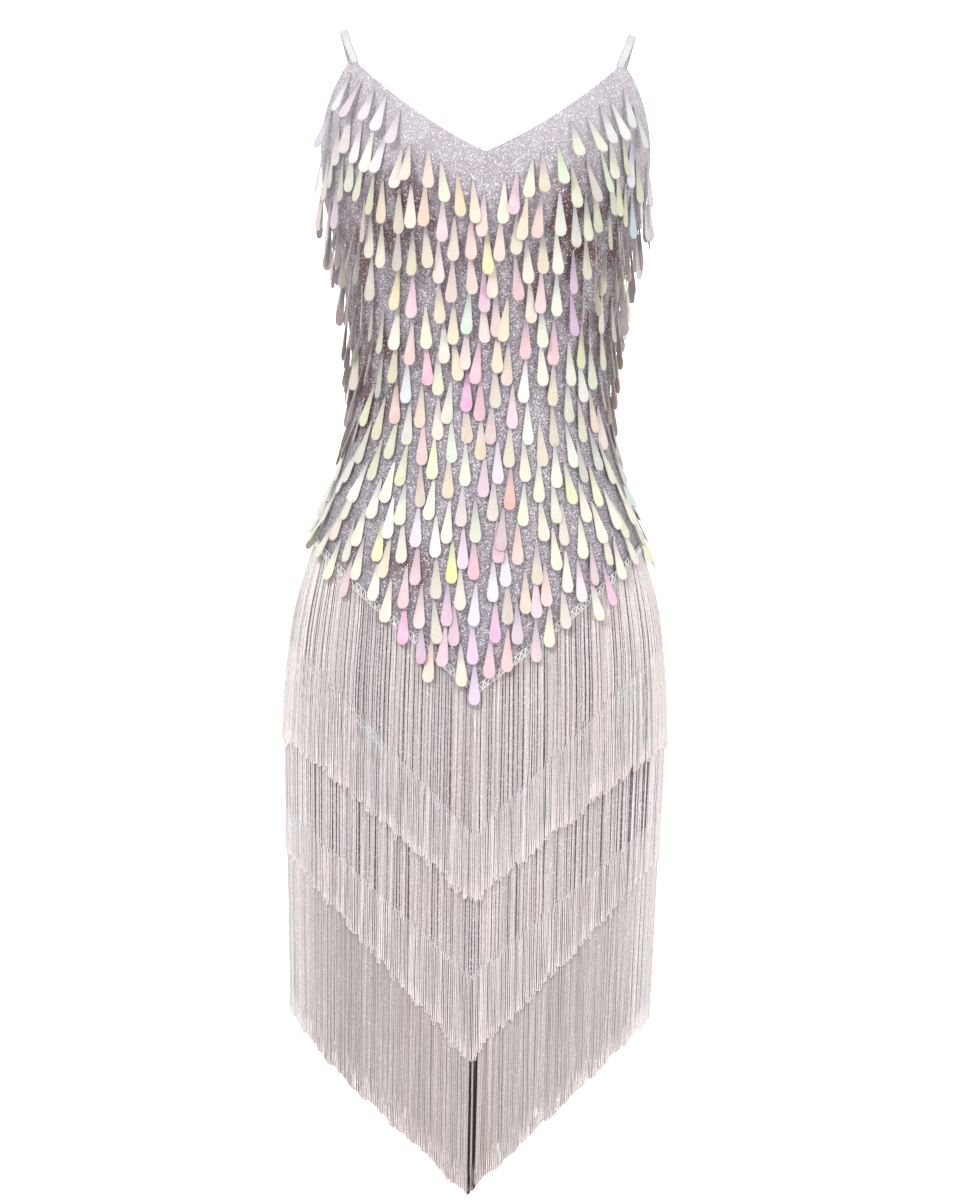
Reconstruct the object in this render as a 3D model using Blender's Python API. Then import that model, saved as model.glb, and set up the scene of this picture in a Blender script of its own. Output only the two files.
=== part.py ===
"""Fringed tango dress: a hollow camisole dress with a V neck and three V-shaped tiers of long fringe.

Metres, +Z up, +X to the right and the front towards -Y. The origin is midway between the tops of the two
shoulder straps, where the wearer carries the dress. Every piece lies on one family of horizontal
sections: each half section is a superellipse, wide along X, with its own depth in front and behind.
"""

import math

import bmesh
import bpy
import numpy as np

# Cloth and trimmings
CLOTH = 0.0015
SEAM_GAP = 0.0003
STRAP_WIDTH = 0.0078
STRAP_THICKNESS = 0.0012
BRAID_HEIGHT = 0.008
BRAID_THICKNESS = 0.0014

# Horizontal sections of the outside of the cloth, from the shoulders down to the lowest fringe:
# height, half width, depth in front of the side seam, depth behind it
SECTIONS = (
    (-0.020, 0.1560, 0.0880, 0.0960),
    (-0.080, 0.1552, 0.1030, 0.1040),
    (-0.120, 0.1515, 0.1100, 0.1060),
    (-0.152, 0.1490, 0.1120, 0.1045),
    (-0.190, 0.1390, 0.1060, 0.0990),
    (-0.228, 0.1295, 0.0990, 0.0910),
    (-0.265, 0.1240, 0.0940, 0.0830),
    (-0.302, 0.1200, 0.0900, 0.0780),
    (-0.350, 0.1190, 0.0885, 0.0770),
    (-0.394, 0.1265, 0.0920, 0.0860),
    (-0.430, 0.1370, 0.0965, 0.0980),
    (-0.467, 0.1480, 0.1010, 0.1100),
    (-0.505, 0.1575, 0.1045, 0.1190),
    (-0.560, 0.1645, 0.1065, 0.1230),
    (-0.605, 0.1685, 0.1070, 0.1220),
    (-0.650, 0.1700, 0.1065, 0.1185),
    (-0.718, 0.1675, 0.1050, 0.1150),
    (-0.800, 0.1640, 0.1030, 0.1120),
    (-0.900, 0.1600, 0.1005, 0.1090),
    (-1.060, 0.1560, 0.0980, 0.1060),
)
HEIGHT, HALF_WIDTH, FRONT_DEPTH, BACK_DEPTH = range(4)
ROUNDNESS = 2.3

# Bust cups: a soft swelling each side of the centre, longer above its peak than below it
CUP_CENTRE_X = 0.080
CUP_CENTRE_Z = -0.150
CUP_SWELL = 0.015
CUP_SPREAD_X = 0.045
CUP_SPREAD_UP = 0.062
CUP_SPREAD_DOWN = 0.040

# Top edges of the two panels
NECK_BOTTOM_Z = -0.1185
STRAP_POINT_Z = -0.0370
STRAP_POINT_X = 0.1225
STRAP_POINT_WIDTH = 0.0085
NECK_STRAIGHT_SHARE = 0.62
UNDERARM_Z = -0.1220
ARMHOLE_START_SLOPE = 0.3
ARMHOLE_END_SLOPE = 0.6
BACK_POINT_Z = -0.1060
BACK_POINT_X = 0.1000
BACK_SCOOP_Z = -0.1460

# Fringe tiers, lowest first: height of the braid's top at the side seam and at the centre, length of the
# fringe below the braid at the side and at the centre, how far it stands off the cloth, segments
TIERS = {
    "fringe_tier_3": (-0.7176, -0.8620, 0.174, 0.187, 0.0000, 1),
    "fringe_tier_2": (-0.5640, -0.7343, 0.181, 0.194, 0.0036, 2),
    "fringe_tier_1": (-0.4670, -0.6000, 0.176, 0.184, 0.0054, 3),
}
SIDE_Z, CENTRE_Z, SIDE_LENGTH, CENTRE_LENGTH, STAND_OFF, SEGMENTS = range(6)
STRANDS = 39
STRAND_SHARE = 0.66
STAND_OFF_REACH = 0.045
STRAND_LEAN = 0.035
LENGTH_SPREAD = 0.012
TIP_TAPER = 0.82

# Grid of each panel: columns from the centre to the neck point, across it and on to the side, and rows
NECK_COLUMNS = 7
POINT_COLUMNS = 1
ARM_COLUMNS = 5
ROWS = 28

# Middle line of a strap over the shoulder, from front to back, between its two sewn ends
STRAP_ROUTE = (
    (0.1275, -0.0500, -0.0180),
    (0.1322, -0.0240, -0.0040),
    (0.1335, 0.0020, -0.0006),
    (0.1312, 0.0320, -0.0075),
    (0.1240, 0.0640, -0.0330),
    (0.1120, 0.0825, -0.0700),
)
STRAP_SEWN = 0.012
STRAP_GAP = 0.0006
STRAP_STATIONS = 22
SHOULDER_NORMAL = (0.30, 0.0, 0.95)

COLOURS = {
    "cloth": ((0.47, 0.42, 0.48), 0.55, 0.1),
    "strap": ((0.86, 0.86, 0.88), 0.25, 0.0),
    "fringe": ((0.72, 0.66, 0.66), 0.45, 0.0),
}

FRONT, BACK = -1, 1


def clear_scene():
    """Removes whatever the file opened with."""
    for item in list(bpy.data.objects):
        bpy.data.objects.remove(item, do_unlink=True)


def material(name):
    """Principled material of one finish: colour, roughness, metallic."""
    found = bpy.data.materials.get(name)
    if found:
        return found
    colour, roughness, metallic = COLOURS[name]
    made = bpy.data.materials.new(name)
    made.use_nodes = True
    shader = made.node_tree.nodes["Principled BSDF"]
    shader.inputs["Base Color"].default_value = (*colour, 1.0)
    shader.inputs["Roughness"].default_value = roughness
    shader.inputs["Metallic"].default_value = metallic
    return made


def add_object(name, mesh, finish):
    """Turns a bmesh into a named object whose faces point outwards."""
    bmesh.ops.recalc_face_normals(mesh, faces=mesh.faces)
    data = bpy.data.meshes.new(name)
    mesh.to_mesh(data)
    mesh.free()
    data.materials.append(material(finish))
    item = bpy.data.objects.new(name, data)
    bpy.context.scene.collection.objects.link(item)
    return item


def smooth_column(z, column):
    """Value of one column of SECTIONS at the heights z, on a smooth curve through its rows."""
    rows = np.array(SECTIONS)[::-1]
    heights, values = rows[:, HEIGHT], rows[:, column]
    slopes = np.gradient(values, heights)
    z = np.clip(z, heights[0], heights[-1])
    low = np.clip(np.searchsorted(heights, z) - 1, 0, len(heights) - 2)
    span = heights[low + 1] - heights[low]
    s = (z - heights[low]) / span
    rise = s * s * (3.0 - 2.0 * s)
    bend_low = s * (1.0 - s) ** 2 * span * slopes[low]
    bend_high = s * s * (s - 1.0) * span * slopes[low + 1]
    return values[low] * (1.0 - rise) + values[low + 1] * rise + bend_low + bend_high


def half_width(z):
    """Half width of the outside of the cloth at the heights z."""
    return smooth_column(z, HALF_WIDTH)


def depth(z, side):
    """Depth of the front or the back of the cloth from the side seam."""
    return smooth_column(z, FRONT_DEPTH if side == FRONT else BACK_DEPTH)


def cup(x, z):
    """How far the bust cups push the front out: one Gaussian mound each side."""
    spread = np.where(z > CUP_CENTRE_Z, CUP_SPREAD_UP, CUP_SPREAD_DOWN)
    fall = ((z - CUP_CENTRE_Z) / spread) ** 2
    left = np.exp(-(((x + CUP_CENTRE_X) / CUP_SPREAD_X) ** 2) - fall)
    right = np.exp(-(((x - CUP_CENTRE_X) / CUP_SPREAD_X) ** 2) - fall)
    return CUP_SWELL * (left + right)


def surface(u, z, side, out=0.0):
    """Points of one side of the dress, moved out from the cloth's outside by out.

    u runs from -1 at the left seam over 0 at the centre to 1 at the right seam.
    """
    angle = np.clip(u, -1.0, 1.0) * math.pi / 2.0
    power = 2.0 / ROUNDNESS
    across = np.sign(angle) * np.abs(np.sin(angle)) ** power
    forward = np.abs(np.cos(angle)) ** power
    forward = np.where(np.abs(u) > 1.0 - 1e-9, 0.0, forward)
    x = (half_width(z) + out) * across
    y = side * ((depth(z, side) + out) * forward + SEAM_GAP / 2.0)
    if side == FRONT:
        y = y - cup(x, z) * np.sqrt(forward)
    return np.stack(np.broadcast_arrays(x, y, z), axis=-1)


def u_at(x, z):
    """The u at which a section has the given distance from the centre line."""
    share = (x / float(half_width(np.array(z)))) ** (ROUNDNESS / 2.0)
    return math.asin(share) * 2.0 / math.pi


def outward(x, y, z, side, out):
    """Outward unit normal of a section in the horizontal plane, and how far a point is inside it."""
    a = half_width(z) + out
    d = depth(z, side) + out
    across = np.abs(x) / a
    forward = np.maximum(side * y - SEAM_GAP / 2.0, 0.0) / d
    level = (across**ROUNDNESS + forward**ROUNDNESS) ** (1.0 / ROUNDNESS)
    level = np.maximum(level, 1e-6)
    gx = np.sign(x) * (across / level) ** (ROUNDNESS - 1.0) / a
    gy = side * (forward / level) ** (ROUNDNESS - 1.0) / d
    size = np.hypot(gx, gy)
    return gx / size, gy / size, (1.0 - level) / size


def neck_edge(u):
    """Height of the front panel's top edge at u, where u is not negative."""
    inner = STRAP_POINT_X - STRAP_POINT_WIDTH / 2.0
    u_in = u_at(inner, STRAP_POINT_Z)
    u_out = u_at(STRAP_POINT_X + STRAP_POINT_WIDTH / 2.0, STRAP_POINT_Z)
    x = float(half_width(np.array(STRAP_POINT_Z))) * np.sin(u * math.pi / 2.0) ** (2.0 / ROUNDNESS)
    s = np.clip(x / inner, 0.0, 1.0)
    rise = NECK_STRAIGHT_SHARE * s + (1.0 - NECK_STRAIGHT_SHARE) * s * s
    neck = NECK_BOTTOM_Z + (STRAP_POINT_Z - NECK_BOTTOM_Z) * rise
    t = np.clip((u - u_out) / (1.0 - u_out), 0.0, 1.0)
    fall = t * t * (3.0 - 2.0 * t)
    fall = fall + ARMHOLE_START_SLOPE * t * (1.0 - t) ** 2 + ARMHOLE_END_SLOPE * t * t * (t - 1.0)
    armhole = STRAP_POINT_Z + (UNDERARM_Z - STRAP_POINT_Z) * fall
    return np.where(u < u_in, neck, armhole)


def back_edge(u):
    """Height of the back panel's top edge at u: a soft scoop between the strap points."""
    u_in = u_at(BACK_POINT_X - STRAP_POINT_WIDTH / 2.0, BACK_POINT_Z)
    u_out = u_at(BACK_POINT_X + STRAP_POINT_WIDTH / 2.0, BACK_POINT_Z)
    s = np.clip(u / u_in, 0.0, 1.0)
    scoop = BACK_SCOOP_Z + (BACK_POINT_Z - BACK_SCOOP_Z) * s * s
    t = np.clip((u - u_out) / (1.0 - u_out), 0.0, 1.0)
    fall = BACK_POINT_Z + (UNDERARM_Z - BACK_POINT_Z) * t * t * (3.0 - 2.0 * t)
    return np.where(u < u_in, scoop, fall)


def braid_top(u, tier):
    """Height of the top of a tier's braid: a straight V as seen from the front."""
    across = np.abs(np.sin(np.clip(u, -1.0, 1.0) * math.pi / 2.0)) ** (2.0 / ROUNDNESS)
    return tier[CENTRE_Z] + (tier[SIDE_Z] - tier[CENTRE_Z]) * across


def hem(u):
    """Height of the skirt's cloth hem, level with the bottom of the lowest braid."""
    return braid_top(u, TIERS["fringe_tier_3"]) - BRAID_HEIGHT


def panel_columns(point_x, point_z):
    """The u of each column of a panel, with one at either edge of the strap points."""
    u_in = u_at(point_x - STRAP_POINT_WIDTH / 2.0, point_z)
    u_out = u_at(point_x + STRAP_POINT_WIDTH / 2.0, point_z)
    inner = np.linspace(0.0, u_in, NECK_COLUMNS + 1)
    point = np.linspace(u_in, u_out, POINT_COLUMNS + 1)[1:]
    outer = np.linspace(u_out, 1.0, ARM_COLUMNS + 1)[1:]
    right = np.concatenate([inner, point, outer])
    return np.concatenate([-right[:0:-1], right])


def closed_wall(outer, inner):
    """One closed mesh between two grids of points of the same size."""
    rows, columns, _ = outer.shape
    mesh = bmesh.new()
    layers = []
    for grid in (outer, inner):
        layers.append([[mesh.verts.new(grid[r, c]) for c in range(columns)] for r in range(rows)])
    top, under = layers
    for r in range(rows - 1):
        for c in range(columns - 1):
            mesh.faces.new((top[r][c], top[r][c + 1], top[r + 1][c + 1], top[r + 1][c]))
            mesh.faces.new((under[r][c], under[r + 1][c], under[r + 1][c + 1], under[r][c + 1]))
    rim = [(0, c) for c in range(columns)] + [(r, columns - 1) for r in range(1, rows)]
    rim += [(rows - 1, c) for c in range(columns - 2, -1, -1)] + [(r, 0) for r in range(rows - 2, 0, -1)]
    for (r0, c0), (r1, c1) in zip(rim, rim[1:] + rim[:1]):
        mesh.faces.new((top[r0][c0], under[r0][c0], under[r1][c1], top[r1][c1]))
    return mesh


def make_panel(name, side):
    """Front or back of the dress in one piece, from the neck to the V hem."""
    if side == FRONT:
        u = panel_columns(STRAP_POINT_X, STRAP_POINT_Z)
        top = neck_edge(np.abs(u))
    else:
        u = panel_columns(BACK_POINT_X, BACK_POINT_Z)
        top = back_edge(np.abs(u))
    v = np.linspace(0.0, 1.0, ROWS + 1)[:, None]
    z = hem(u)[None, :] * (1.0 - v) + top[None, :] * v
    across = np.broadcast_to(u, z.shape)
    mesh = closed_wall(surface(across, z, side), surface(across, z, side, -CLOTH))
    return add_object(name, mesh, "cloth")


def smooth_route(points, stations):
    """Points at even steps along a Catmull-Rom curve through the given ones."""
    p = np.array(points)
    p = np.vstack([2 * p[0] - p[1], p, 2 * p[-1] - p[-2]])
    t = np.linspace(0.0, len(points) - 1.0, stations)
    i = np.minimum(t.astype(int), len(points) - 2)
    s = (t - i)[:, None]
    a, b, c, d = p[i], p[i + 1], p[i + 2], p[i + 3]
    return 0.5 * (2 * b + (c - a) * s + (2 * a - 5 * b + 4 * c - d) * s**2 + (3 * b - a - 3 * c + d) * s**3)


def strap_end(x, z, side):
    """Two points inside a panel's strap point, just off the cloth, and the cloth's normal there."""
    inset = -(CLOTH + STRAP_GAP + STRAP_THICKNESS / 2.0)
    u = u_at(x, z)
    heights = np.array([z - STRAP_SEWN, z + SEAM_GAP])
    points = surface(np.full(2, u), heights, side, inset)
    nx, ny, _ = outward(points[1, 0], points[1, 1], points[1, 2], side, inset)
    return points, np.array([float(nx), float(ny), 0.0])


def make_strap(name, mirror):
    """Flat strap from the front strap point over the shoulder to the back one."""
    front, front_normal = strap_end(STRAP_POINT_X, STRAP_POINT_Z, FRONT)
    back, back_normal = strap_end(BACK_POINT_X, BACK_POINT_Z, BACK)
    route = smooth_route([*front, *STRAP_ROUTE, *back[::-1]], STRAP_STATIONS)
    along = np.gradient(route, axis=0)
    along /= np.linalg.norm(along, axis=1)[:, None]
    t = np.linspace(-1.0, 1.0, STRAP_STATIONS)[:, None]
    crown = (1.0 - np.abs(t)) ** 0.7
    normal = crown * np.array(SHOULDER_NORMAL) + (1.0 - crown) * np.where(t < 0, front_normal, back_normal)
    normal -= (normal * along).sum(axis=1)[:, None] * along
    normal /= np.linalg.norm(normal, axis=1)[:, None]
    across = np.cross(along, normal)
    sign = np.array([mirror, 1.0, 1.0])
    rings = []
    for w, h in ((-1, -1), (1, -1), (1, 1), (-1, 1)):
        ring = route + across * (w * STRAP_WIDTH / 2.0) + normal * (h * STRAP_THICKNESS / 2.0)
        rings.append(ring * sign)
    mesh = bmesh.new()
    verts = [[mesh.verts.new(ring[k]) for ring in rings] for k in range(STRAP_STATIONS)]
    for low, high in zip(verts, verts[1:]):
        for c in range(4):
            mesh.faces.new((low[c], low[(c + 1) % 4], high[(c + 1) % 4], high[c]))
    mesh.faces.new(verts[0])
    mesh.faces.new(verts[-1])
    return add_object(name, mesh, "strap")


def hang(start, drops, side, stand_off):
    """Inner faces of strands below their roots: they fall straight, but for a slight lean towards the
    body, and are pushed out along the section's normal where the cloth below is wider."""
    levels = [start]
    root_z = start[:, 2]
    x, y = start[:, 0].copy(), start[:, 1].copy()
    below = np.zeros_like(root_z)
    for drop in drops:
        steps = 6
        step = (drop - below) / steps
        for _ in range(steps):
            below = below + step
            z = root_z - below
            s = np.clip(below / STAND_OFF_REACH, 0.0, 1.0)
            out = SEAM_GAP + stand_off * s * s * (3.0 - 2.0 * s)
            nx, ny, _ = outward(x, y, z, side, out)
            x = x - nx * STRAND_LEAN * step
            y = y - ny * STRAND_LEAN * step
            for _ in range(2):
                nx, ny, inside = outward(x, y, z, side, out)
                push = np.maximum(inside, 0.0)
                x, y = x + nx * push, y + ny * push
        levels.append(np.stack([x, y, root_z - below], axis=-1))
    return levels


def make_fringe(name, side, tier):
    """One side's braid with its strands fused under it."""
    pitch = 2.0 / STRANDS
    left = -1.0 + pitch * (np.arange(STRANDS) + 0.5 - STRAND_SHARE / 2.0)
    right = left + pitch * STRAND_SHARE
    u = np.concatenate([[-1.0], np.stack([left, right], axis=1).ravel(), [1.0]])
    top_z = braid_top(u, tier)
    low_z = top_z - BRAID_HEIGHT
    inner, outer = SEAM_GAP, SEAM_GAP + BRAID_THICKNESS
    corners = [
        surface(u, top_z, side, outer),
        surface(u, low_z, side, outer),
        surface(u, low_z, side, inner),
        surface(u, top_z, side, inner),
    ]
    mesh = bmesh.new()
    ribs = [[mesh.verts.new(corner[k]) for corner in corners] for k in range(len(u))]
    for k, (a, b) in enumerate(zip(ribs, ribs[1:])):
        for c in range(4):
            strand_root = c == 1 and k % 2 == 1
            if not strand_root:
                mesh.faces.new((a[c], a[(c + 1) % 4], b[(c + 1) % 4], b[c]))
    mesh.faces.new(ribs[0])
    mesh.faces.new(ribs[-1])
    add_strands(mesh, ribs, corners[2], side, tier)
    return add_object(name, mesh, "fringe")


def strand_lengths(u, tier):
    """Length of each strand below the braid: slightly uneven, as cut fringe is."""
    across = np.abs(np.sin(u * math.pi / 2.0)) ** (2.0 / ROUNDNESS)
    length = tier[CENTRE_LENGTH] + (tier[SIDE_LENGTH] - tier[CENTRE_LENGTH]) * across
    wave = np.sin(37.0 * u + 90.0 * tier[SIDE_Z]) + np.sin(101.0 * u)
    return length * (1.0 + LENGTH_SPREAD * wave / 2.0)


def add_strands(mesh, ribs, roots, side, tier):
    """Hangs one four-sided strand from each root gap under the braid."""
    starts = np.arange(1, len(ribs) - 1, 2)
    middle = (roots[starts] + roots[starts + 1]) / 2.0
    half = np.linalg.norm((roots[starts + 1] - roots[starts])[:, :2], axis=1) / 2.0
    u_mid = -1.0 + (np.arange(STRANDS) + 0.5) * 2.0 / STRANDS
    length = strand_lengths(u_mid, tier)
    drops = [length * (k + 1) / tier[SEGMENTS] for k in range(tier[SEGMENTS])]
    levels = hang(middle, drops, side, tier[STAND_OFF])
    previous = [[ribs[s][1], ribs[s][2], ribs[s + 1][2], ribs[s + 1][1]] for s in starts]
    for k, level in enumerate(levels[1:]):
        nx, ny, _ = outward(level[:, 0], level[:, 1], level[:, 2], side, tier[STAND_OFF])
        normal = np.stack([nx, ny, np.zeros_like(nx)], axis=-1)
        across = np.stack([-ny, nx, np.zeros_like(nx)], axis=-1) * -side
        reach = half * (TIP_TAPER if k == len(levels) - 2 else 1.0)
        left = level - across * reach[:, None]
        right = level + across * reach[:, None]
        out = normal * BRAID_THICKNESS
        for i, upper in enumerate(previous):
            lower = [mesh.verts.new(p) for p in (left[i] + out[i], left[i], right[i], right[i] + out[i])]
            for c in range(4):
                mesh.faces.new((upper[c], upper[(c + 1) % 4], lower[(c + 1) % 4], lower[c]))
            previous[i] = lower
    for lower in previous:
        mesh.faces.new(lower)


def main():
    """Builds the whole dress."""
    clear_scene()
    make_panel("front_panel", FRONT)
    make_panel("back_panel", BACK)
    make_strap("strap_left", -1.0)
    make_strap("strap_right", 1.0)
    for name, tier in TIERS.items():
        make_fringe(f"{name}_front", FRONT, tier)
        make_fringe(f"{name}_back", BACK, tier)


main()
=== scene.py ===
"""Looks of a fringed tango dress: glitter knit, teardrop paillettes, braids, fine fringe and straps.

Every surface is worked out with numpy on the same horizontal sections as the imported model: each half
section is a superellipse, wide along X, with its own depth in front of and behind the side seams. The
dress is hollow, its front faces -Y and the tops of its shoulder straps are at the origin's height.
"""

import logging
import math
from dataclasses import dataclass
from enum import Enum

import bpy
import numpy as np
from mathutils import Matrix, Vector


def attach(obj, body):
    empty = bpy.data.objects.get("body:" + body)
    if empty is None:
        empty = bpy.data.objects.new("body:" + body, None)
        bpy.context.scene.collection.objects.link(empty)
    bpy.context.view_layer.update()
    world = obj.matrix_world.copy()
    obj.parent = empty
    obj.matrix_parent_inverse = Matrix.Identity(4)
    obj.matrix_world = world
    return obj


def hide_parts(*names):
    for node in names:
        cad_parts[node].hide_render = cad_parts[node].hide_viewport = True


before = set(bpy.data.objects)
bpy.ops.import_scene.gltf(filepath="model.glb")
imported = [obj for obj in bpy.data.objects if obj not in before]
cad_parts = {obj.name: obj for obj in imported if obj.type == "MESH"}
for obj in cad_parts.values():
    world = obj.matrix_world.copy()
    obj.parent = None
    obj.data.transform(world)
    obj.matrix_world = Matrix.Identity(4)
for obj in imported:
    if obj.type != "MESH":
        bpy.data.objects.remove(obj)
log = logging.getLogger("dress")
Array = np.ndarray
Item = bpy.types.Object
Finish = bpy.types.Material
Socket = bpy.types.NodeSocket
Value = Socket | float | tuple
WHITE = (1.0, 1.0, 1.0, 1.0)


class Side(Enum):
    """Half of the dress: the sign of Y that it faces."""

    FRONT = -1
    BACK = 1

    @property
    def word(self) -> str:
        """Name of the half, as it stands in the names of pieces."""
        return self.name.lower()

    def facing(self, faces: list[Array]) -> list[Array]:
        """Faces made for the front, turned round where this is the back."""
        return flipped(faces) if self is Side.BACK else faces


# Meshes


def make_piece(
    name: str, points: Array, faces: list[Array], finish: Finish, flat: tuple[int, ...] = ()
) -> Item:
    """Makes a mesh object in the row frame.

    Args:
        name: The piece's name.
        points: Vertices, one row each.
        faces: Arrays of vertex indices, each with one face a row and all faces of one size.
        finish: Its material.
        flat: Which of those arrays are shaded flat; the others are smooth.

    Returns:
        The new object, riding on the dress.
    """
    mesh = bpy.data.meshes.new(name)
    mesh.vertices.add(len(points))
    mesh.vertices.foreach_set("co", np.ascontiguousarray(points, np.float32).ravel())
    corners = np.concatenate([block.ravel() for block in faces]).astype(np.int32)
    sizes = np.concatenate([np.full(len(block), block.shape[1]) for block in faces]).astype(np.int32)
    starts = np.concatenate([[0], np.cumsum(sizes)[:-1]]).astype(np.int32)
    smooth = np.concatenate([np.full(len(block), k not in flat) for k, block in enumerate(faces)])
    mesh.loops.add(len(corners))
    mesh.loops.foreach_set("vertex_index", corners)
    mesh.polygons.add(len(sizes))
    mesh.polygons.foreach_set("loop_start", starts)
    mesh.polygons.foreach_set("loop_total", sizes)
    mesh.polygons.foreach_set("use_smooth", smooth)
    mesh.update(calc_edges=True)
    mesh.validate()
    mesh.materials.append(finish)
    item = bpy.data.objects.new(name, mesh)
    bpy.context.scene.collection.objects.link(item)
    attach(item, "root")
    return item


def add_colour(item: Item, name: str, colours: Array) -> None:
    """Stores a colour for each vertex under the attribute's name."""
    rgba = np.concatenate([colours, np.ones((len(colours), 1))], axis=1)
    layer = item.data.attributes.new(name, "FLOAT_COLOR", "POINT")
    layer.data.foreach_set("color", rgba.astype(np.float32).ravel())


def add_uv(item: Item, values: Array) -> None:
    """Stores each vertex's pair of surface coordinates as the piece's UV map."""
    layer = item.data.uv_layers.new(name="surface")
    corners = np.zeros(len(item.data.loops), np.int32)
    item.data.loops.foreach_get("vertex_index", corners)
    layer.data.foreach_set("uv", values[corners].astype(np.float32).ravel())


def grid_faces(rows: int, columns: int, start: int = 0, turned: bool = False) -> Array:
    """Quads between the points of a grid.

    Args:
        rows: Points down the grid.
        columns: Points across it.
        start: Index of its first point.
        turned: True to face the other way.

    Returns:
        One quad a row.
    """
    index = start + np.arange(rows * columns).reshape(rows, columns)
    a, b, c, d = index[:-1, :-1], index[:-1, 1:], index[1:, 1:], index[1:, :-1]
    order = (a, d, c, b) if turned else (a, b, c, d)
    return np.stack(order, axis=-1).reshape(-1, 4)


def rim_loop(rows: int, columns: int) -> Array:
    """Indices of a grid's outer points, once round."""
    index = np.arange(rows * columns).reshape(rows, columns)
    return np.concatenate([index[0, :-1], index[:-1, -1], index[-1, :0:-1], index[:0:-1, 0]])


def flipped(faces: list[Array]) -> list[Array]:
    """The same faces, pointing the other way."""
    return [block[:, ::-1] for block in faces]


def copies(faces: Array, count: int, size: int) -> Array:
    """The faces of one shape for each of many equal shapes, whose points follow each other."""
    start = (np.arange(count) * size)[:, None, None]
    return (start + faces[None]).reshape(-1, faces.shape[1])


def wall(outer: Array, inner: Array) -> tuple[Array, list[Array]]:
    """Closes the space between an outer and an inner grid of points into one thin solid.

    Args:
        outer: Grid of outer points, rows by columns by 3, with rows going up and columns to the right.
        inner: The same for the inner side.

    Returns:
        Points and faces.
    """
    rows, columns, _ = outer.shape
    count = rows * columns
    loop = rim_loop(rows, columns)
    after = np.roll(loop, -1)
    rim = np.stack([loop, loop + count, after + count, after], axis=-1)
    points = np.concatenate([outer.reshape(-1, 3), inner.reshape(-1, 3)])
    return points, [grid_faces(rows, columns), grid_faces(rows, columns, count, True), rim]


def unit(vectors: Array) -> Array:
    """Vectors scaled to length one."""
    size = np.linalg.norm(vectors, axis=-1, keepdims=True)
    return vectors / np.maximum(size, 1e-12)


def tilt(first: Array, second: Array, share: Array) -> tuple[Array, Array]:
    """Two directions at right angles, the first leaned towards the second by a share of its length."""
    return unit(first + second * share), unit(second - first * share)


def ramp(value: Array | float, start: Array | float, span: Array | float) -> Array:
    """Share from 0 at the start to 1 a span further on; a negative span runs the other way."""
    return np.clip((value - start) / span, 0.0, 1.0)


def ease(share: Array) -> Array:
    """Share from 0 to 1 that sets out and arrives softly."""
    return share * share * (3.0 - 2.0 * share)


def patch(x: Array, z: Array, spot: tuple, power: int = 2) -> Array:
    """Strength at points of an oval patch: its place along X, height, two half sizes and strength."""
    place, height, wide, high, strength = spot
    return strength * np.exp(-(((x - place) / wide) ** power) - ((z - height) / high) ** power)


def distances(points: Array) -> Array:
    """Distance along each row of points from its first one."""
    steps = np.linalg.norm(np.diff(points, axis=-2), axis=-1)
    return np.concatenate([np.zeros_like(steps[..., :1]), np.cumsum(steps, axis=-1)], axis=-1)


def tubes(
    paths: Array, normals: Array, radius: Array | float, sides: int
) -> tuple[Array, list[Array], Array, Array]:
    """Carries a small polygon along many paths at once, with closed ends.

    At each point the ring lies across the path's direction: its first axis is the part of the given
    normal across the path, and its second one is across both.

    Args:
        paths: Points, strands by stations by 3.
        normals: A direction off the path for each point, never along it.
        radius: Half thickness, a number or an array that fits strands by stations.
        sides: Corners of the polygon.

    Returns:
        Points, faces, and for each point the index of its strand and of its station.
    """
    strands, stations, _ = paths.shape
    along = unit(np.gradient(paths, axis=1))
    across = unit(np.cross(along, normals))
    up = np.cross(across, along)
    angle = np.arange(sides) * 2.0 * math.pi / sides
    size = np.broadcast_to(radius, (strands, stations))[:, :, None, None]
    ring = np.cos(angle)[None, None, :, None] * up[:, :, None, :]
    ring = ring + np.sin(angle)[None, None, :, None] * across[:, :, None, :]
    points = (paths[:, :, None, :] + size * ring).reshape(-1, 3)
    index = np.arange(strands * stations * sides).reshape(strands, stations, sides)
    near, far = index[:, :-1], index[:, 1:]
    quads = np.stack([near, far, np.roll(far, -1, axis=2), np.roll(near, -1, axis=2)], axis=-1)
    caps = np.concatenate([index[:, 0], index[:, -1, ::-1]])
    strand = np.repeat(np.arange(strands), stations * sides)
    station = np.tile(np.repeat(np.arange(stations), sides), strands)
    return points, [quads.reshape(-1, 4), caps], strand, station


# Finishes


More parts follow.
